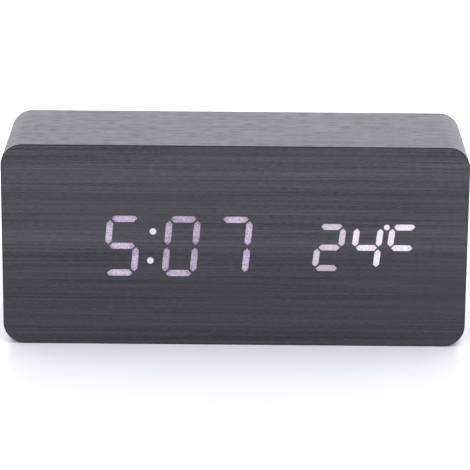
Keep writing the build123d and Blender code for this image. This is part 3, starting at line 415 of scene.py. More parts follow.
class StudioLook(bpy.types.PropertyGroup):
    """Floor, light and camera."""

    floor: length("Floor", "Side of the square floor", 8.0)
    floor_tone: tone("Floor", "Pale floor", (0.93, 0.93, 0.935))
    light_tone: tone("Light", "Cool white of every light", (0.92, 0.92, 1.0))
    backdrop: bpy.props.FloatProperty(
        name="Backdrop", description="Brightness of the white surroundings", default=1.08, min=0.0
    )
    overhead: power("Overhead", "Wide soft light above the clock", 10.0)
    fill: power("Fill", "Soft light from the front right", 1.0)
    rear_light: power("Rear light", "Wide soft light behind the clock", 6.5)
    lens: bpy.props.FloatProperty(
        name="Lens", description="Focal length", default=196.96, unit="CAMERA"
    )
    aim: bpy.props.FloatVectorProperty(
        name="Aim", description="Point the camera looks at", default=(0.0000372, 0.0, 0.0305646),
        subtype="TRANSLATION", unit="LENGTH",
    )
    distance: length("Distance", "From the camera to the point it looks at", 0.8507148)
    pitch: angle("Pitch", "How far the camera looks down", 17.02)
    yaw: angle("Yaw", "How far the camera looks to the right", -0.092)
    roll: angle("Roll", "How far the camera leans", 0.464)


def forward(operation):
    """Operator of a strand with what stands on its right."""
    return lambda strand, other: strand.math(operation, strand, other)


def reflected(operation):
    """The same operator with what stands on the strand's left."""
    return lambda strand, other: strand.math(operation, other, strand)


class Strand:
    """One socket of a node tree. Arithmetic on it adds Math nodes to the same tree."""

    def __init__(self, tree, socket=None):
        self.tree = tree
        self.socket = socket

    def node(self, kind, settings=None, sockets=None, output=0):
        """Add a node, make its settings first, then fill or link its sockets."""
        made = self.tree.nodes.new(kind)
        for name, value in (settings or {}).items():
            if name == "stops":
                set_stops(made.color_ramp, value)
            else:
                setattr(made, name, value)
        for name, value in (sockets or {}).items():
            for single in value if isinstance(value, list) else [value]:
                if isinstance(single, Strand):
                    self.tree.links.new(single.socket, made.inputs[name])
                else:
                    made.inputs[name].default_value = single
        return Strand(self.tree, made.outputs[output] if made.outputs else None)

    def other(self, output):
        """Strand from another output of the same node."""
        return Strand(self.tree, self.socket.node.outputs[output])

    def math(self, operation, first, second=0.0):
        """Math node on one or two numbers or strands."""
        return self.node("ShaderNodeMath", {"operation": operation}, {0: first, 1: second})

    __add__, __radd__ = forward("ADD"), reflected("ADD")
    __sub__, __rsub__ = forward("SUBTRACT"), reflected("SUBTRACT")
    __mul__, __rmul__ = forward("MULTIPLY"), reflected("MULTIPLY")
    __truediv__, __rtruediv__ = forward("DIVIDE"), reflected("DIVIDE")

    def __abs__(self):
        return self.math("ABSOLUTE", self)


def set_stops(ramp, stops):
    """Give a colour ramp its stops, each a position and a grey level."""
    while len(ramp.elements) < len(stops):
        ramp.elements.new(1.0)
    for element, (position, level) in zip(ramp.elements, stops):
        element.position = position
        element.color = (level, level, level, 1.0)


def new_material(name):
    """Empty material and the strand that its nodes start from."""
    material = bpy.data.materials.new(name)
    material.use_nodes = True
    material.node_tree.nodes.clear()
    return material, Strand(material.node_tree)


def shader(paint, sockets):
    """Surface shader with its sockets filled."""
    return paint.node("ShaderNodeBsdfPrincipled", {}, sockets)


def surfaced(paint, sockets):
    """Close a material with one surface shader."""
    paint.node("ShaderNodeOutputMaterial", {}, {"Surface": shader(paint, sockets)})


def glowing(paint, base, glow):
    """Close the material of a window that light shines through."""
    surfaced(paint, {
        "Base Color": rgba(base),
        "Roughness": WINDOW_ROUGHNESS,
        "Emission Color": glow,
        "Emission Strength": 1.0,
    })


def rgba(colour):
    """Colour as the four numbers that a socket takes."""
    return (*colour, 1.0)


def vector(start, **parts):
    """Vector strand from its X, Y and Z, each a number or a strand."""
    return start.node("ShaderNodeCombineXYZ", {}, parts)


def split(strand):
    """Three parts of a vector strand."""
    parts = strand.node("ShaderNodeSeparateXYZ", {}, {0: strand})
    return [parts.other(place) for place in range(3)]


def object_point(paint):
    """Point of the piece in metres, as one vector."""
    return paint.node("ShaderNodeTexCoord", {}, {}, "Object")


def mapped(paint, name):
    """Both parts of a point's place on a named UV map."""
    return split(paint.node("ShaderNodeUVMap", {"uv_map": name}))[:2]


def attribute(paint, name, output):
    """Value that the mesh stores for each point."""
    return paint.node("ShaderNodeAttribute", {"attribute_name": name}, {}, output)


def noise(point, cells, detail):
    """Noise from 0 to 1 with so many cells for each unit of a point."""
    sockets = {"Vector": point, "Scale": cells, "Detail": detail}
    return point.node("ShaderNodeTexNoise", {}, sockets)


def film_layer(name, along, across):
    """One layer of the wood film, from -0.5 to 0.5."""
    cells_along, cells_across, part, detail = FILM_LAYERS[name]
    point = vector(along, X=along * cells_along, Y=part, Z=across * cells_across)
    return noise(point, 1.0, detail) - MIDDLE


def mixed(factor, first, second):
    """Colour between two others, each a strand or three numbers."""
    first, second = (end if isinstance(end, Strand) else rgba(end) for end in (first, second))
    sockets = {MIX_FACTOR: factor, MIX_FIRST: first, MIX_SECOND: second}
    return factor.node("ShaderNodeMix", {"data_type": "RGBA"}, sockets, MIX_RESULT)


def dimmed(colour, level):
    """Colour strand times a level strand."""
    return level.node("ShaderNodeVectorMath", {"operation": "SCALE"}, {0: colour, "Scale": level})


def tinted(colour):
    """Colour strand times the tint that the mesh stores."""
    tint = attribute(colour, "tint", "Color")
    return colour.node("ShaderNodeVectorMath", {"operation": "MULTIPLY"}, {0: colour, 1: tint})


def far(first, second):
    """How far two parts at right angles reach together."""
    return first.math("SQRT", first * first + second * second)


def rise(value, low, high):
    """0 at low, 1 at high, with an eased climb between."""
    settings = {"interpolation_type": "SMOOTHSTEP"}
    return value.node("ShaderNodeMapRange", settings, {"Value": value, "From Min": low, "From Max": high})


def bump(height, strength, depth):
    """Normal for a height strand."""
    return height.node("ShaderNodeBump", {}, {"Strength": strength, "Distance": depth, "Height": height})


def film_grain(along, across, contrast):
    """Printed wood from dark to light: wavering long lines, short dashes and broad streaks."""
    bent = across + film_layer("waver", along, across) * LINE_WAVER
    grain = MIDDLE
    for name, strength in contrast.items():
        grain = grain + film_layer(name, along, bent) * strength
    return grain


def border_reach(x, z, radius):
    """How far a point lies past the face's rounded border, below zero inside it."""
    past = []
    for place, low, high in ((x, FILM_LOW.x, FILM_HIGH.x), (z, FILM_LOW.z, FILM_HIGH.z)):
        over = abs(place - (low + high) / 2) - ((high - low) / 2 - radius)
        past.append(over.math("MAXIMUM", over))
    return far(*past) - radius


def face_film(look):
    """Film on the face: fine level grain, a dark trimmed edge, a satin lacquer, and painted shade that
    darkens its lower part.
    """
    material, paint = new_material("face_film")
    x, _, z = split(object_point(paint))
    grain = film_grain(x, z, FACE_CONTRAST)
    height = (z - FILM_LOW.z) / (FILM_HIGH.z - FILM_LOW.z)
    # Painted shade: level dims the film's colour towards the bottom of the face, where less light falls
    level = paint.node("ShaderNodeValToRGB", {"stops": FACE_SHADE_RAMP}, {"Fac": height})
    patches = rise(film_layer("patches", x, z), *RANGES["patches"])
    tones = mixed(grain, look.vein_tone, look.film_tone)
    tones = mixed(patches * PATCH_STRENGTH, tones, look.warm_tone)
    film = shader(paint, {
        "Base Color": dimmed(tones, level),
        "Roughness": FACE_ROUGHNESS + grain * FACE_UNEVENNESS,
        "Specular IOR Level": FACE_GLOSS,
        "Normal": bump(grain, *FACE_RELIEF),
    })
    edge = shader(paint, {
        "Base Color": rgba(look.cut_tone),
        "Roughness": CUT_ROUGHNESS,
        "Specular IOR Level": CUT_GLOSS,
    })
    trimmed = rise(border_reach(x, z, look.corner), -look.trim, -look.trim * TRIM_FULL_SHARE)
    surface = paint.node("ShaderNodeMixShader", {}, {0: trimmed, 1: film, 2: edge})
    paint.node("ShaderNodeOutputMaterial", {}, {"Surface": surface})
    return material


def sleeve_film(look):
    """Film wrapped round the sleeve: grain that follows the wrap, with short pressed pores."""
    material, paint = new_material("sleeve_film")
    along, across = attribute(paint, "walk", "Fac"), attribute(paint, "drop", "Fac")
    grain = film_grain(along, across, SLEEVE_CONTRAST)
    bent = across + film_layer("clouds", along, across) * PORE_WAVER
    pores = rise(film_layer("pores", along, bent), *RANGES["pores"]) * PORE_SHARE
    pores = pores + rise(film_layer("breaks", along, bent), *RANGES["breaks"]) * BREAK_SHARE
    film = mixed(grain, look.vein_tone, look.film_tone)
    surfaced(paint, {
        "Base Color": mixed(pores * PORE_STRENGTH, film, look.pore_tone),
        "Roughness": SLEEVE_ROUGHNESS + pores * PORE_ROUGHNESS + grain * SLEEVE_UNEVENNESS,
        "Normal": bump(grain * PORE_GRAIN_RELIEF - pores, *SLEEVE_RELIEF),
    })
    return material


def stroke_light(name, look, middle, end, speckle):
    """Lit film window: brighter in its middle, specked by the film's grain, tinted stroke by stroke."""
    material, paint = new_material(name)
    x, _, z = split(object_point(paint))
    along, across = mapped(paint, "stroke")
    specks = film_layer("specks", x, z) * speckle
    grain = (film_grain(x, z, FACE_CONTRAST) - MIDDLE) * speckle
    fade = along * along * FADE_ALONG + across * across * FADE_ACROSS - specks * FADE_SPECKS
    glow = mixed(rise(fade, *RANGES["stroke fade"]), middle, end)
    glow = dimmed(tinted(glow), 1.0 + specks + grain * GRAIN_IN_LIGHT)
    side = rise(abs(across), *RANGES["stroke side"])
    tip = rise(abs(along) + abs(across) * TIP_SLANT, *RANGES["stroke tip"])
    glowing(paint, look.rim_tone, mixed(paint.math("MAXIMUM", side, tip), glow, look.rim_tone))
    return material


def dot_light(look):
    """Round lit dot with a faint ring round its middle."""
    material, paint = new_material("dot_light")
    reach = far(*mapped(paint, "stroke"))
    ring = rise(reach, *RANGES["ring start"]) - rise(reach, *RANGES["ring end"])
    glow = tinted(mixed(ring * RING_STRENGTH, look.dot_tone, look.dot_ring_tone))
    glowing(paint, DOT_BASE, mixed(rise(reach, *RANGES["dot rim"]), glow, look.rim_tone))
    return material


def moulded(name, colour, roughness, cell, depth):
    """Moulded plastic with a fine eroded texture and a little uneven sheen."""
    material, paint = new_material(name)
    point = object_point(paint)
    texture = noise(point, 1 / cell, TEXTURE_DETAIL)
    sheen = noise(point, *SHEEN_NOISE)
    lighter = [min(1.0, part * PLASTIC_LIGHTER) for part in colour]
    tones = texture * PLASTIC_TEXTURE_TONE + sheen * PLASTIC_SHEEN_TONE
    surfaced(paint, {
        "Base Color": mixed(tones, colour, lighter),
        "Roughness": roughness + (sheen - MIDDLE) * SHEEN_SWING + texture * PLASTIC_TEXTURE_SHEEN,
        "Normal": bump(texture, PLASTIC_RELIEF, depth),
    })
    return material


def metal(name, colour, roughness, cell):
    """Plain or plated metal with fine drawn marks."""
    material, paint = new_material(name)
    marks = noise(object_point(paint), 1 / cell, MARK_DETAIL)
    worn = [part * METAL_DARKER for part in colour]
    surfaced(paint, {
        "Base Color": mixed(rise(marks, *RANGES["metal marks"]), colour, worn),
        "Metallic": 1.0,
        "Roughness": roughness + (marks - MIDDLE) * SHEEN_SWING,
        "Normal": bump(marks, *METAL_RELIEF),
    })
    return material


def fibre_board():
    """Pressed wood fibre with darker flecks."""
    material, paint = new_material("raw_board")
    fibres = noise(object_point(paint), *FIBRE_NOISE)
    surfaced(paint, {
        "Base Color": mixed(rise(fibres, *RANGES["fibres"]), *FIBRE_TONES),
        "Roughness": FIBRE_ROUGHNESS,
        "Normal": bump(fibres, *FIBRE_RELIEF),
    })
    return material


def circuit_board():
    """Green board with a lighter weave and copper lines under the lacquer."""
    material, paint = new_material("circuit_board")
    point = object_point(paint)
    x, _, z = split(point)
    spot = vector(paint, X=x * TRACK_CELLS, Y=TRACK_SLICE, Z=z * TRACK_CELLS)
    settings = {"feature": "DISTANCE_TO_EDGE"}
    cells = paint.node("ShaderNodeTexVoronoi", settings, {"Vector": spot, "Scale": 1.0}, "Distance")
    tracks = 1 - rise(cells, *RANGES["tracks"])
    weave = noise(point, *WEAVE_NOISE)
    surfaced(paint, {
        "Base Color": mixed(tracks * TRACK_STRENGTH, mixed(weave, *BOARD_TONES), TRACK_TONE),
        "Roughness": BOARD_ROUGHNESS + weave * BOARD_UNEVENNESS,
        "Normal": bump(tracks, *TRACK_RELIEF),
    })
    return material


def cell_print(look):
    """Printed sleeve of a dry cell: a plain colour, a pale band at the nub end, bare metal ends."""
    material, paint = new_material("cell_print")
    along, _ = mapped(paint, "turned")
    scuffs = noise(object_point(paint), *SCUFF_NOISE)
    band = rise(along, *RANGES["band start"]) - rise(along, *RANGES["band end"])
    bare = 1 - rise(along, *RANGES["cell foot"]) + rise(along, *RANGES["cell head"])
    surfaced(paint, {
        "Base Color": mixed(bare, mixed(band, look.cell_tone, look.band_tone), BARE_TONE),
        "Metallic": bare * CELL_METAL,
        "Roughness": CELL_ROUGHNESS + scuffs * CELL_UNEVENNESS,
        "Normal": bump(scuffs, *CELL_RELIEF),
    })
    return material


def floor_paint(look):
    """Smooth pale floor with a faint mottle."""
    material, paint = new_material("pale_floor")
    mottle = noise(object_point(paint), *FLOOR_NOISE)
    darker = [part * FLOOR_DARKER for part in look.floor_tone]
    surfaced(paint, {
        "Base Color": mixed(mottle, look.floor_tone, darker),
        "Roughness": FLOOR_ROUGHNESS + mottle * FLOOR_UNEVENNESS,
    })
    return material


def linked(name, data):
    """New object of the scene."""
    piece = bpy.data.objects.new(name, data)
    bpy.context.scene.collection.objects.link(piece)
    return piece


def add_piece(name, mesh, material, body, slot, *nodes):
    """Put a finished mesh in the scene on its body, in place of the nodes that it stands for."""
    piece = linked(name, mesh)
    mesh.materials.clear()
    mesh.materials.append(material)
    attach(piece, body)
    if nodes:
        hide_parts(*nodes)


def dress(material, *nodes):
    """Give CAD nodes that stay in view a material."""
    for name in nodes:
        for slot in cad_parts[name].material_slots:
            slot.material = material


def dress_all(make, finishes):
    """Give each group of nodes the material that is made from its row of a table."""
    for name, (nodes, *values) in finishes.items():
        dress(make(name, *values), *nodes)


def smoothed(mesh):
    """Mesh shaded smooth but for its sharp edges."""
    mesh.shade_smooth()
    mesh.set_sharp_from_angle(angle=SHARP_ANGLE)
    return mesh


def to_mesh(builder, name):
    """Finished mesh from a builder."""
    mesh = bpy.data.meshes.new(name)
    builder.to_mesh(mesh)
    builder.free()
    return smoothed(mesh)


def modified(name, mesh, add_modifiers):
    """Plain mesh of what modifiers make, which a function adds to a passing object."""
    passing = linked(name, mesh)
    add_modifiers(passing)
    graph = bpy.context.evaluated_depsgraph_get()
    made = bpy.data.meshes.new_from_object(passing.evaluated_get(graph))
    passing.modifiers.clear()
    bpy.data.objects.remove(passing)
    return made


def evened(mesh):
    """Mesh whose large flat faces keep their own normals beside small rounds."""
    def add_weights(passing):
        weights = passing.modifiers.new("normals", "WEIGHTED_NORMAL")
        weights.keep_sharp = True

    return modified(mesh.name, smoothed(mesh), add_weights)


def joined_copy(node):
    """Builder with a node's loose triangles joined and its flat areas made whole."""
    builder = bmesh.new()
    builder.from_mesh(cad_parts[node].data)
    bmesh.ops.remove_doubles(builder, verts=builder.verts, dist=WELD)
    bmesh.ops.dissolve_limit(builder, angle_limit=FLAT_ANGLE, verts=builder.verts, edges=builder.edges)
    return builder


def eased_copy(node, edge):
    """Mesh of a node with its edges slightly rounded, as a mould leaves them."""
    def add_rounding(passing):
        rounding = passing.modifiers.new("edges", "BEVEL")
        rounding.width = edge
        rounding.segments = EDGE_SEGMENTS
        rounding.limit_method = "ANGLE"
        rounding.angle_limit = SHARP_ANGLE
        rounding.harden_normals = True

    return modified(node, to_mesh(joined_copy(node), node), add_rounding)


def eased(corners):
    """Outline points with each corner rounded by its own radius, and a guard point beside each round."""
    points = []
    for place, (across, up, radius) in enumerate(corners):
        here = Vector((across, up))
        if not radius:
            points.append(here)
            continue
        before = (Vector(corners[place - 1][:2]) - here).normalized()
        after = (Vector(corners[(place + 1) % len(corners)][:2]) - here).normalized()
        half = before.angle(after) / 2
        reach = radius / math.tan(half)
        centre = here + (before + after).normalized() * (radius / math.sin(half))
        start, end = here + before * reach, here + after * reach
        points.append(start + before * (radius * GUARD_SHARE))
        for step in range(EASE_STEPS + 1):
            way = (start - centre).lerp(end - centre, step / EASE_STEPS)
            points.append(centre + way.normalized() * radius)
        points.append(end + after * (radius * GUARD_SHARE))
    return points


def turn_profile(builder, profile, place, steps):
    """Turn a profile of radius and height about its own axis, set in the frame by place, with a UV map."""
    maps = builder.loops.layers.uv
    uv = maps.get("turned") or maps.new("turned")
    foot = profile[0][1]
    total = profile[-1][1] - foot
    rings = []
    for radius, height in profile:
        ring = []
        for step in range(steps if radius > WELD else 1):
            turn = 2 * math.pi * step / steps
            spot = Vector((radius * math.cos(turn), radius * math.sin(turn), height))
            ring.append(builder.verts.new(place @ spot))
        rings.append((ring, height))
    for (lower, low), (upper, high) in zip(rings, rings[1:]):
        for step in range(steps):
            after = (step + 1) % steps
            heights = {
                lower[step % len(lower)]: low,
                lower[after % len(lower)]: low,
                upper[after % len(upper)]: high,
                upper[step % len(upper)]: high,
            }
            for loop in builder.faces.new(list(heights)).loops:
                loop[uv].uv = ((heights[loop.vert] - foot) / total, step / steps)


def islands(builder):
    """Groups of vertices that belong together."""
    left = set(builder.verts)
    groups = []
    while left:
        queue = [left.pop()]
        group = list(queue)
        while queue:
            for edge in queue.pop().link_edges:
                for vert in edge.verts:
                    if vert in left:
                        left.remove(vert)
                        queue.append(vert)
                        group.append(vert)
        groups.append(group)
    return groups


def stroke_frame(group):
    """Centre, long and side directions, half length and half width of a stroke, seen from the front."""
    spots = [Vector((vert.co.x, vert.co.z)) for vert in group]
    low = Vector((min(spot.x for spot in spots), min(spot.y for spot in spots)))
    high = Vector((max(spot.x for spot in spots), max(spot.y for spot in spots)))
    centre = (low + high) / 2
    span = max(spots, key=lambda spot: (spot - centre).length) - centre
    way = span.normalized()
    side = Vector((-way.y, way.x))
    wide = max(abs((spot - centre).dot(side)) for spot in spots)
    return centre, way, side, span.length, wide


def stroke_windows(node, tint_of):
    """Mesh of a window node whose map runs along each stroke, with a tint for each stroke."""
    builder = joined_copy(node)
    uv = builder.loops.layers.uv.new("stroke")
    tint = builder.verts.layers.float_vector.new("tint")
    for group in islands(builder):
        centre, way, side, half, wide = stroke_frame(group)
        for vert in group:
            vert[tint] = tint_of(centre)
            off = Vector((vert.co.x, vert.co.z)) - centre
            for loop in vert.link_loops:
                loop[uv].uv = (off.dot(way) / half, off.dot(side) / wide)
    return to_mesh(builder, node)


def swayed(centre, turn_right, turn_up, reach):
    """White light whose red and green sway a little with the place of a stroke."""
    shift = math.sin(centre.x * turn_right + centre.y * turn_up) * reach
    return Vector((1.0 + shift, 1.0 - shift, 1.0))


def column(centre, low, high):
    """Place of a stroke in characters from the left end of its group."""
    return (centre.x - low.x) / (high.x - low.x) * CHARACTERS


def level_tint(level):
    """Function that gives every dot the same level."""
    return lambda centre: Vector((level, level, level))


def time_tint(look):
    """Function that shifts the light a little from stroke to stroke and dims the middle digit."""
    low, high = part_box("lit_time_windows")

    def tint_of(centre):
        middle = 1 < column(centre, low, high) < 2
        return swayed(centre, *TIME_SWAY) * (look.middle_digit_glow if middle else 1.0)

    return tint_of


def temperature_tint(look):
    """Function that dims the first temperature digit and warms its lowest stroke."""
    low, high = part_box("lit_temperature_windows")

    def tint_of(centre):
        first = column(centre, low, high) < 1
        if first and centre.y < low.z + (high.z - low.z) * FOOT_SHARE:
            return Vector(look.aged_tone) * look.first_digit_glow
        return swayed(centre, *TEMPERATURE_SWAY) * (look.first_digit_glow if first else 1.0)

    return tint_of


def point_mesh(name, points, headings=()):
    """Mesh of loose points, each with a heading."""
    mesh = bpy.data.meshes.new(name)
    mesh.from_pydata(points, [], [])
    turn = mesh.attributes.new("heading", "FLOAT", "POINT")
    for place, heading in enumerate(headings):
        turn.data[place].value = heading
    return mesh


def geometry_tree(name, numbers):
    """Geometry tree that takes points, named numbers and a finish, and gives pieces."""
    tree = bpy.data.node_groups.new(name, "GeometryNodeTree")
    kinds = {"Points": "Geometry", **dict.fromkeys(numbers, "Float"), "Finish": "Material"}
    for socket, kind in kinds.items():
        tree.interface.new_socket(socket, in_out="INPUT", socket_type=f"NodeSocket{kind}")
    tree.interface.new_socket("Pieces", in_out="OUTPUT", socket_type="NodeSocketGeometry")
    start = Strand(tree)
    taken = start.node("NodeGroupInput")
    return tree, start, {socket: taken.other(socket) for socket in kinds}


def close_tree(start, inputs, shape, rotation):
    """Set a shape on every point, make the copies real, and finish them."""
    copies = start.node(
        "GeometryNodeInstanceOnPoints", {},
        {"Points": inputs["Points"], "Instance": shape, "Rotation": rotation},
    )
    real = start.node("GeometryNodeRealizeInstances", {}, {0: copies})
    finished = start.node("GeometryNodeSetMaterial", {}, {"Geometry": real, "Material": inputs["Finish"]})
    start.node("NodeGroupOutput", {}, {"Pieces": finished})


def grown(name, tree, points, values):
    """Plain mesh that a geometry tree makes from a mesh of points."""
    def add_tree(passing):
        modifier = passing.modifiers.new(name, "NODES")
        modifier.node_group = tree
        for item in tree.interface.items_tree:
            if item.in_out == "INPUT" and item.name in values:
                modifier[item.identifier] = values[item.name]

    return modified(name, points, add_tree)


def moved(shape, **parts):
    """Shape moved along X, Y or Z."""
    sockets = {"Geometry": shape, "Translation": vector(shape, **parts)}
    return shape.node("GeometryNodeTransform", {}, sockets)


def marked(curve, name):
    """Curve whose points hold how far along it they are."""
    run = curve.node("GeometryNodeSplineParameter", {}, {}, "Length")
    return curve.node("GeometryNodeStoreNamedAttribute", {}, {"Geometry": curve, "Name": name, "Value": run})


def rounded(curve, count, radius):
    """Curve with its corners rounded in so many steps."""
    sockets = {"Curve": curve, "Count": count, "Radius": radius}
    return curve.node("GeometryNodeFilletCurve", {"mode": "POLY"}, sockets)


def rectangle(start, width, height):
    """Closed rectangular curve."""
    sockets = {"Width": width, "Height": height}
    return start.node("GeometryNodeCurvePrimitiveQuadrilateral", {}, sockets)


def block(start, **sides):
    """Solid block with its X, Y and Z sides."""
    return start.node("GeometryNodeMeshCube", {}, {"Size": vector(start, **sides)})


def screw_tree():
    """Tree of cross-head screws whose heads point to the back."""
    sizes = ("Head", "Head height", "Slot", "Slot width", "Slot depth", "Shank", "Shank length")
    tree, start, sized = geometry_tree("cross_head_screws", sizes)
    half = sized["Head height"] / 2
    blank = start.node("GeometryNodeMeshCylinder", {}, {
        "Vertices": HEAD_STEPS,
        "Side Segments": HEAD_BANDS,
        "Radius": sized["Head"] / 2,
        "Depth": sized["Head height"],
    })
    head = start.node(
        "GeometryNodeScaleElements", {},
        {"Geometry": blank, "Selection": blank.other("Top"), "Scale": HEAD_TOP_SHARE},
    )
    for across, up, deeper in (("Slot", "Slot width", 1.0), ("Slot width", "Slot", SLOT_STEP)):
        bar = block(start, X=sized[across], Y=sized[up], Z=sized["Slot depth"] * (2 * deeper))
        cut = {0: head, 1: moved(bar, Z=half)}
        head = start.node("GeometryNodeMeshBoolean", {"operation": "DIFFERENCE"}, cut)
    head = start.node("GeometryNodeMergeByDistance", {}, {"Geometry": head, "Distance": WELD})
    shank = start.node("GeometryNodeMeshCylinder", {}, {
        "Vertices": SHANK_STEPS,
        "Radius": sized["Shank"] / 2,
        "Depth": sized["Shank length"],
    })
    pieces = [moved(head, Z=half), moved(shank, Z=sized["Shank length"] * -0.5)]
    screw = start.node("GeometryNodeJoinGeometry", {}, {0: pieces})
    spin = start.node(
        "FunctionNodeRandomValue", {"data_type": "FLOAT"},
        {"Min": 0.0, "Max": math.pi / 2, "Seed": SPIN_SEED}, RANDOM_NUMBER,
    )
    close_tree(start, sized, screw, vector(start, X=-math.pi / 2, Y=spin))
    return tree


def sleeve_tree():
    """Tree of a sleeve: a wall section swept round a rounded outline, with the film's walk and drop."""
    sizes = ("Width", "Height", "Depth", "Wall", "Corner", "Edge", "Step")
    tree, start, sized = geometry_tree("wrapped_sleeve", sizes)
    outline = rectangle(start, sized["Height"], sized["Width"])
    turned = {"Geometry": outline, "Rotation": (0.0, 0.0, -math.pi / 2)}
    outline = rounded(start.node("GeometryNodeTransform", {}, turned), SLEEVE_CORNER_STEPS, sized["Corner"])
    strides = {"Curve": outline, "Length": sized["Step"]}
    outline = start.node("GeometryNodeResampleCurve", {"mode": "LENGTH"}, strides)
    _, up, _ = split(start.node("GeometryNodeInputPosition"))
    rear_round = start.math("GREATER_THAN", up) * sized["Edge"]
    section = rounded(rectangle(start, sized["Wall"], sized["Depth"]), EASE_STEPS, rear_round)
    section = moved(section, X=sized["Wall"] * -0.5, Y=sized["Depth"] / 2)
    swept = {"Curve": marked(outline, "walk"), "Profile Curve": marked(section, "drop")}
    sleeve = start.node("GeometryNodeCurveToMesh", {}, swept)
    close_tree(start, sized, sleeve, (math.pi / 2, 0.0, 0.0))
    return tree


def spring_tree():
    """Tree of cone-shaped wire springs, each along its own heading."""
    tree, start, sized = geometry_tree("battery_springs", ("Wire", "Base", "Tip", "Length", "Turns"))
    coil = start.node("GeometryNodeCurveSpiral", {}, {
        "Resolution": COIL_STEPS,
        "Rotations": sized["Turns"],
        "Start Radius": sized["Base"] / 2,
        "End Radius": sized["Tip"] / 2,
        "Height": sized["Length"] - sized["Wire"],
    })
    section = start.node(
        "GeometryNodeCurvePrimitiveCircle", {}, {"Resolution": WIRE_STEPS, "Radius": sized["Wire"] / 2}
    )
    swept = {"Curve": coil, "Profile Curve": section, "Fill Caps": True}
    wire = moved(start.node("GeometryNodeCurveToMesh", {}, swept), Z=sized["Wire"] / 2)
    heading = start.node("GeometryNodeInputNamedAttribute", {"data_type": "FLOAT"}, {"Name": "heading"})
    close_tree(start, sized, wire, vector(start, Y=math.pi / 2, Z=heading))
    return tree


def rib_tree():
    """Tree of level grip ribs that stand out to the back."""
    tree, start, sized = geometry_tree("grip_ribs", ("Length", "Width", "Height"))
    bar = block(start, X=sized["Length"], Y=sized["Height"] * 2, Z=sized["Width"])
    close_tree(start, sized, bar, (0.0, 0.0, 0.0))
    return tree


def key_place(name):
    """Corners of a key's box, and the point of its axis where Y is zero."""
    low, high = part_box(f"{name}_button")
    return low, high, Vector(((low.x + high.x) / 2, 0.0, (low.z + high.z) / 2))


def key_mesh(look, name):
    """Cap of one key: dished face, round rim, flange and post, turned about its own axis."""
    low, high, centre = key_place(name)
    flange = (high.x - low.x) / 2
    skirt = low.y + look.post
    rim = look.key_diameter / 2
    dish = rim - look.key_round
    profile = [Vector((0.0, low.y))]
    # The last corner only turns the rim's round inwards, and the dish takes its place
    profile += eased([
        (look.post_diameter / 2, low.y, 0.0),
        (look.post_diameter / 2, skirt, 0.0),
        (flange, skirt, look.edge),
        (flange, skirt + look.flange, look.edge),
        (rim, skirt + look.flange, 0.0),
        (rim, high.y, look.key_round),
        (0.0, high.y, 0.0),
    ])[:-1]
    for step in range(DISH_STEPS + 1):
        reach = dish * DISH_SHARE * (1 - step / DISH_STEPS)
        depth = look.key_dish * (1 - (reach / dish) ** 2)
        profile.append(Vector((reach, high.y - depth)))
    builder = bmesh.new()
    place = Matrix.Translation(centre) @ Matrix.Rotation(-math.pi / 2, 4, "X")
    turn_profile(builder, profile, place, KEY_STEPS)
    bmesh.ops.recalc_face_normals(builder, faces=builder.faces)
    return to_mesh(builder, f"{name}_cap")


def sign_mesh(look, name):
    """Plain sign in a key's dish: a ring, or a triangle that points up or down."""
    _, high, centre = key_place(name)
    floor = high.y - look.key_dish
    corners, first, outlines = SIGNS[name]
    builder = bmesh.new()
    loops = []
    for outline in outlines:
        radius = look.sign_radius * outline
        turns = [first + 2 * math.pi * corner / corners for corner in range(corners)]
        loops.append([
            builder.verts.new(centre + Vector((-radius * math.cos(turn), floor, radius * math.sin(turn))))
            for turn in turns
        ])
    outer, inner = loops[0], loops[-1]
    if inner is outer:
        faces = [builder.faces.new(outer)]
    else:
        faces = [
            builder.faces.new([outer[place], outer[place - 1], inner[place - 1], inner[place]])
            for place in range(corners)
        ]
    lifted = bmesh.ops.extrude_face_region(builder, geom=faces)
    raised = [item for item in lifted["geom"] if isinstance(item, bmesh.types.BMVert)]
    bmesh.ops.translate(builder, verts=raised, vec=(0.0, look.sign_height, 0.0))
    bmesh.ops.recalc_face_normals(builder, faces=builder.faces)
    return to_mesh(builder, f"{name}_sign")


def cell_heights(look):
    """Z of each cell's axis, lowest first."""
    first = CELLS_LOW.z + look.cell_diameter / 2
    last = CELLS_HIGH.z - look.cell_diameter / 2
    return [first + (last - first) * place / (CELL_COUNT - 1) for place in range(CELL_COUNT)]


def cells_mesh(look):
    """Three cells, each the other way round from the next, with rolled ends and a raised nub."""
    radius, nub = look.cell_diameter / 2, look.nub_diameter / 2
    shoulder = look.cell_length - look.nub
    roll = radius * ROLL_SHARE
    foot = [radius * part for part in FOOT_GROOVE]
    head = [radius * part for part in HEAD_GROOVE]
    profile = [Vector((0.0, 0.0))] + eased([
        (foot[0], 0.0, 0.0),
        (foot[1], roll, 0.0),
        (foot[2], roll, 0.0),
        (foot[3], 0.0, 0.0),
        (radius, 0.0, roll),
        (radius, shoulder, roll),
        (head[0], shoulder, 0.0),
        (head[1], shoulder - roll, 0.0),
        (nub, shoulder - roll, 0.0),
        (nub, look.cell_length, roll),
        (0.0, look.cell_length, 0.0),
    ])
    builder = bmesh.new()
    ends = [
        (CELLS_HIGH.x - look.cell_length, math.pi / 2),
        (CELLS_LOW.x + look.cell_length, -math.pi / 2),
    ]
    for place, z in enumerate(cell_heights(look)):
        x, turn = ends[place % 2]
        set_down = Matrix.Translation((x, CELLS_Y, z)) @ Matrix.Rotation(turn, 4, "Y")
        turn_profile(builder, profile, set_down, CELL_STEPS)
    bmesh.ops.recalc_face_normals(builder, faces=builder.faces)
    return to_mesh(builder, "dry_cells")


def lay_floor(look):
    """Square floor under the clock."""
    builder = bmesh.new()
    bmesh.ops.create_grid(builder, x_segments=1, y_segments=1, size=look.floor / 2)
    mesh = to_mesh(builder, "floor")
    mesh.materials.append(floor_paint(look))
    floor = linked("floor", mesh)


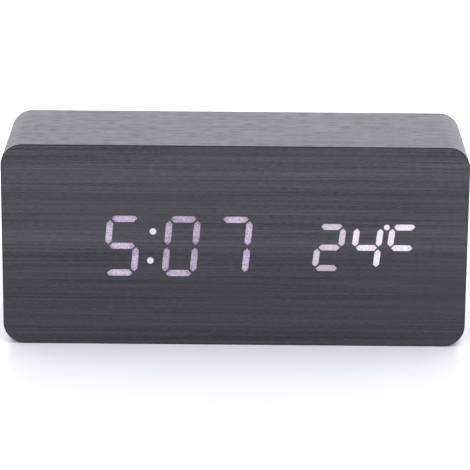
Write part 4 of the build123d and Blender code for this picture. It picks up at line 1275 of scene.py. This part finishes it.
def hang_lights(look):
    """White surroundings and three wide soft lights."""
    world = bpy.data.worlds.new("white_studio")
    world.use_nodes = True
    backdrop = world.node_tree.nodes["Background"]
    backdrop.inputs["Color"].default_value = rgba(look.light_tone)
    backdrop.inputs["Strength"].default_value = look.backdrop
    bpy.context.scene.world = world
    middle = (CAD_BOX[0] + CAD_BOX[1]) / 2
    for name, (place, (width, height)) in LIGHTS.items():
        light = bpy.data.lights.new(name, "AREA")
        light.energy = getattr(look, name)
        light.color = look.light_tone
        light.shape = "RECTANGLE"
        light.size = width
        light.size_y = height
        lamp = linked(name, light)
        lamp.location = place
        lamp.rotation_euler = (middle - Vector(place)).to_track_quat("-Z", "Y").to_euler()


def set_camera(look):
    """Camera at the viewing angle of the product picture."""
    ahead = Vector((
        math.sin(look.yaw) * math.cos(look.pitch),
        math.cos(look.yaw) * math.cos(look.pitch),
        -math.sin(look.pitch),
    ))
    right = Vector((math.cos(look.yaw), -math.sin(look.yaw), 0.0))
    up = right.cross(ahead)
    leaning_right = right * math.cos(look.roll) + up * math.sin(look.roll)
    leaning_up = up * math.cos(look.roll) - right * math.sin(look.roll)
    camera = bpy.data.cameras.new("picture_camera")
    camera.lens = look.lens
    camera.clip_start = CAMERA_NEAR
    viewer = linked("picture_camera", camera)
    turn = Matrix((leaning_right, leaning_up, -ahead)).transposed().to_4x4()
    viewer.matrix_world = Matrix.Translation(Vector(look.aim) - ahead * look.distance) @ turn
    bpy.context.scene.camera = viewer


class ClockOperator:
    """What every step of the finish shares."""

    bl_options = {"REGISTER", "UNDO"}


class FinishSleeve(ClockOperator, bpy.types.Operator):
    """Wrap the sleeve in wood film, with true round corners"""

    bl_idname = "desk_clock.finish_sleeve"
    bl_label = "Case sleeve"

    def execute(self, context):
        look = context.scene.clock_case
        film = sleeve_film(look)
        size = SLEEVE_HIGH - SLEEVE_LOW
        middle = (SLEEVE_LOW + SLEEVE_HIGH) / 2
        spot = point_mesh("sleeve_wrap", [(middle.x, SLEEVE_LOW.y, middle.z)])
        wrap = grown("sleeve_wrap", sleeve_tree(), spot, {
            "Width": size.x,
            "Height": size.z,
            "Depth": size.y,
            "Wall": look.wall,
            "Corner": look.corner,
            "Edge": look.rear_edge,
            "Step": look.stride,
            "Finish": film,
        })
        add_piece("sleeve_wrap", evened(wrap), film, "case", "wood_film", "case_sleeve")
        return {"FINISHED"}


class FinishFace(ClockOperator, bpy.types.Operator):
    """Cover the face and the dark strokes with the same printed film"""

    bl_idname = "desk_clock.finish_face"
    bl_label = "Front film"

    def execute(self, context):
        dress(face_film(context.scene.clock_case), "front_film", "unlit_windows")
        return {"FINISHED"}


class FinishDigits(ClockOperator, bpy.types.Operator):
    """Light the strokes and dots that are on"""

    bl_idname = "desk_clock.finish_digits"
    bl_label = "Lit digits"

    def execute(self, context):
        look = context.scene.clock_display
        time = stroke_light("time_light", look, look.time_tone, look.time_end_tone, TIME_SPECKLE)
        ends = (look.temperature_tone, look.temperature_end_tone)
        heat = stroke_light("temperature_light", look, *ends, TEMPERATURE_SPECKLE)
        dot = dot_light(look)
        groups = [
            ("time_strokes", "lit_time_windows", time, time_tint(look)),
            ("temperature_strokes", "lit_temperature_windows", heat, temperature_tint(look)),
            ("colon_dots", "lit_colon_windows", dot, level_tint(look.colon_glow)),
            ("degree_dot", "lit_degree_window", dot, level_tint(1.0)),
        ]
        for name, node, light, tint_of in groups:
            add_piece(name, stroke_windows(node, tint_of), light, "case", "lit_window", node)
        return {"FINISHED"}


class FinishDisplayWorks(ClockOperator, bpy.types.Operator):
    """Finish what is behind the face: board, light wells, circuit board and its parts"""

    bl_idname = "desk_clock.finish_display_works"
    bl_label = "Display works"

    def execute(self, context):
        dress(fibre_board(), "front_board", "corner_blocks")
        dress(circuit_board(), "display_board", "key_board")
        dress_all(moulded, DISPLAY_PLASTICS)
        dress_all(metal, DISPLAY_METALS)
        return {"FINISHED"}


class FinishCover(ClockOperator, bpy.types.Operator):
    """Mould the rear cover with softened edges and an eroded texture"""

    bl_idname = "desk_clock.finish_cover"
    bl_label = "Rear cover"

    def execute(self, context):
        look = context.scene.clock_rear
        black = moulded("cover_black", look.cover_tone, *COVER_TEXTURE)
        cover = eased_copy("rear_cover", look.edge)
        add_piece("moulded_cover", cover, black, "case", "cover_black", "rear_cover")
        return {"FINISHED"}


class FinishDoor(ClockOperator, bpy.types.Operator):
    """Mould the battery door and put grip ribs on its tongue"""

    bl_idname = "desk_clock.finish_door"
    bl_label = "Battery door"

    def execute(self, context):
        look = context.scene.clock_rear
        black = moulded("door_black", look.cover_tone, *DOOR_TEXTURE)
        door = eased_copy("battery_door", look.edge)
        add_piece("moulded_door", door, black, "door", "cover_black", "battery_door")
        middle = (DOOR_LOW.x + DOOR_HIGH.x) / 2
        top = DOOR_HIGH.z - RIB_DROP * look.rib_pitch
        spots = [(middle, COVER_BACK, top - place * look.rib_pitch) for place in range(RIB_COUNT)]
        ribs = grown("grip_ribs", rib_tree(), point_mesh("grip_ribs", spots), {
            "Length": look.rib_length,
            "Width": look.rib_width,
            "Height": look.rib_height,
            "Finish": black,
        })
        add_piece("grip_ribs", ribs, black, "door", "cover_black")
        return {"FINISHED"}


class FinishKeys(ClockOperator, bpy.types.Operator):
    """Turn the three key caps, with their dishes and plain signs"""

    bl_idname = "desk_clock.finish_keys"
    bl_label = "Keys"

    def execute(self, context):
        look = context.scene.clock_rear
        black = moulded("key_black", look.key_tone, *KEY_TEXTURE)
        white = moulded("sign_print", look.sign_tone, *SIGN_TEXTURE)
        for name in SIGNS:
            cap = key_mesh(look, name)
            add_piece(f"{name}_cap", cap, black, f"{name}_key", "key_black", f"{name}_button")
            add_piece(f"{name}_sign", sign_mesh(look, name), white, f"{name}_key", "key_black")
            dress(black, f"{name}_plunger")
        return {"FINISHED"}


class FinishScrews(ClockOperator, bpy.types.Operator):
    """Set a cross-head screw in each corner of the cover"""

    bl_idname = "desk_clock.finish_screws"
    bl_label = "Cover screws"

    def execute(self, context):
        look = context.scene.clock_fasteners
        steel = metal("screw_steel", *SCREW_STEEL)
        reach = look.head_diameter / 2
        seat = SCREWS_HIGH.y - look.head_height
        spots = [
            (x, seat, z)
            for x in (SCREWS_LOW.x + reach, SCREWS_HIGH.x - reach)
            for z in (SCREWS_LOW.z + reach, SCREWS_HIGH.z - reach)
        ]
        screws = grown("cover_screws", screw_tree(), point_mesh("cover_screws", spots), {
            "Head": look.head_diameter,
            "Head height": look.head_height,
            "Slot": look.slot_length,
            "Slot width": look.slot_width,
            "Slot depth": look.slot_depth,
            "Shank": look.shank_diameter,
            "Shank length": seat - SCREWS_LOW.y,
            "Finish": steel,
        })
        add_piece("cover_screws", smoothed(screws), steel, "case", "screw_steel", "rear_cover_screws")
        return {"FINISHED"}


class FinishCells(ClockOperator, bpy.types.Operator):
    """Turn the three dry cells"""

    bl_idname = "desk_clock.finish_cells"
    bl_label = "Battery cells"

    def execute(self, context):
        look = context.scene.clock_fasteners
        add_piece("dry_cells", cells_mesh(look), cell_print(look), "case", "cell_can", "aaa_cells")
        return {"FINISHED"}


class FinishSprings(ClockOperator, bpy.types.Operator):
    """Wind a contact spring against each cell and plate the contacts"""

    bl_idname = "desk_clock.finish_springs"
    bl_label = "Battery springs"

    def execute(self, context):
        look = context.scene.clock_fasteners
        nickel = metal("nickel", *NICKEL)
        ends = [(SPRINGS_LOW.x, 0.0), (SPRINGS_HIGH.x, math.pi)]
        sides = [ends[place % 2] for place in range(CELL_COUNT)]
        spots = [(x, CELLS_Y, z) for (x, _), z in zip(sides, cell_heights(look))]
        points = point_mesh("contact_springs", spots, [heading for _, heading in sides])
        springs = grown("contact_springs", spring_tree(), points, {
            "Wire": look.wire,
            "Base": look.spring_base,
            "Tip": look.spring_tip,
            "Length": CELLS_HIGH.x - CELLS_LOW.x - look.cell_length,
            "Turns": SPRING_TURNS,
            "Finish": nickel,
        })
        add_piece("contact_springs", smoothed(springs), nickel, "case", "nickel", "battery_springs")
        dress(nickel, "battery_contacts")
        return {"FINISHED"}


class FinishRearWorks(ClockOperator, bpy.types.Operator):
    """Finish the jack, the switches, the sensors and the leads"""

    bl_idname = "desk_clock.finish_rear_works"
    bl_label = "Rear works"

    def execute(self, context):
        black = moulded("jack_black", *JACK_BLACK)
        jack = eased_copy("dc_jack", context.scene.clock_rear.edge)
        add_piece("jack_body", jack, black, "case", "jack_black", "dc_jack")
        dress_all(moulded, REAR_PLASTICS)
        dress_all(metal, REAR_METALS)
        return {"FINISHED"}


class SetStudio(ClockOperator, bpy.types.Operator):
    """Lay the pale floor, hang the soft lights and set the camera"""

    bl_idname = "desk_clock.set_studio"
    bl_label = "Studio"

    def execute(self, context):
        look = context.scene.clock_studio
        lay_floor(look)
        hang_lights(look)
        set_camera(look)
        context.scene.view_settings.view_transform = "Standard"
        return {"FINISHED"}


STEPS = (
    FinishSleeve,
    FinishFace,
    FinishDigits,
    FinishDisplayWorks,
    FinishCover,
    FinishDoor,
    FinishKeys,
    FinishScrews,
    FinishCells,
    FinishSprings,
    FinishRearWorks,
    SetStudio,
)

LOOKS = {
    "clock_case": CaseLook,
    "clock_display": DisplayLook,
    "clock_rear": RearLook,
    "clock_fasteners": FastenerLook,
    "clock_studio": StudioLook,
}


class ClockPanel(bpy.types.Panel):
    """Steps of the finish, in order"""

    bl_idname = "VIEW3D_PT_desk_clock"
    bl_label = "Desk clock"
    bl_space_type = "VIEW_3D"
    bl_region_type = "UI"
    bl_category = "Desk clock"

    def draw(self, context):
        for step in STEPS:
            self.layout.operator(step.bl_idname)


def register():
    """Add the looks, the steps and the panel to Blender."""
    for part in (*LOOKS.values(), *STEPS, ClockPanel):
        bpy.utils.register_class(part)
    for name, look in LOOKS.items():
        setattr(bpy.types.Scene, name, bpy.props.PointerProperty(type=look))


def unregister():
    """Take the looks, the steps and the panel out of Blender."""
    for name in LOOKS:
        delattr(bpy.types.Scene, name)
    for part in (ClockPanel, *reversed(STEPS), *LOOKS.values()):
        bpy.utils.unregister_class(part)


def main():
    """Run every step in order."""
    register()
    for step in STEPS:
        group, name = step.bl_idname.split(".")
        getattr(getattr(bpy.ops, group), name)()


if __name__ == "__main__":
    main()
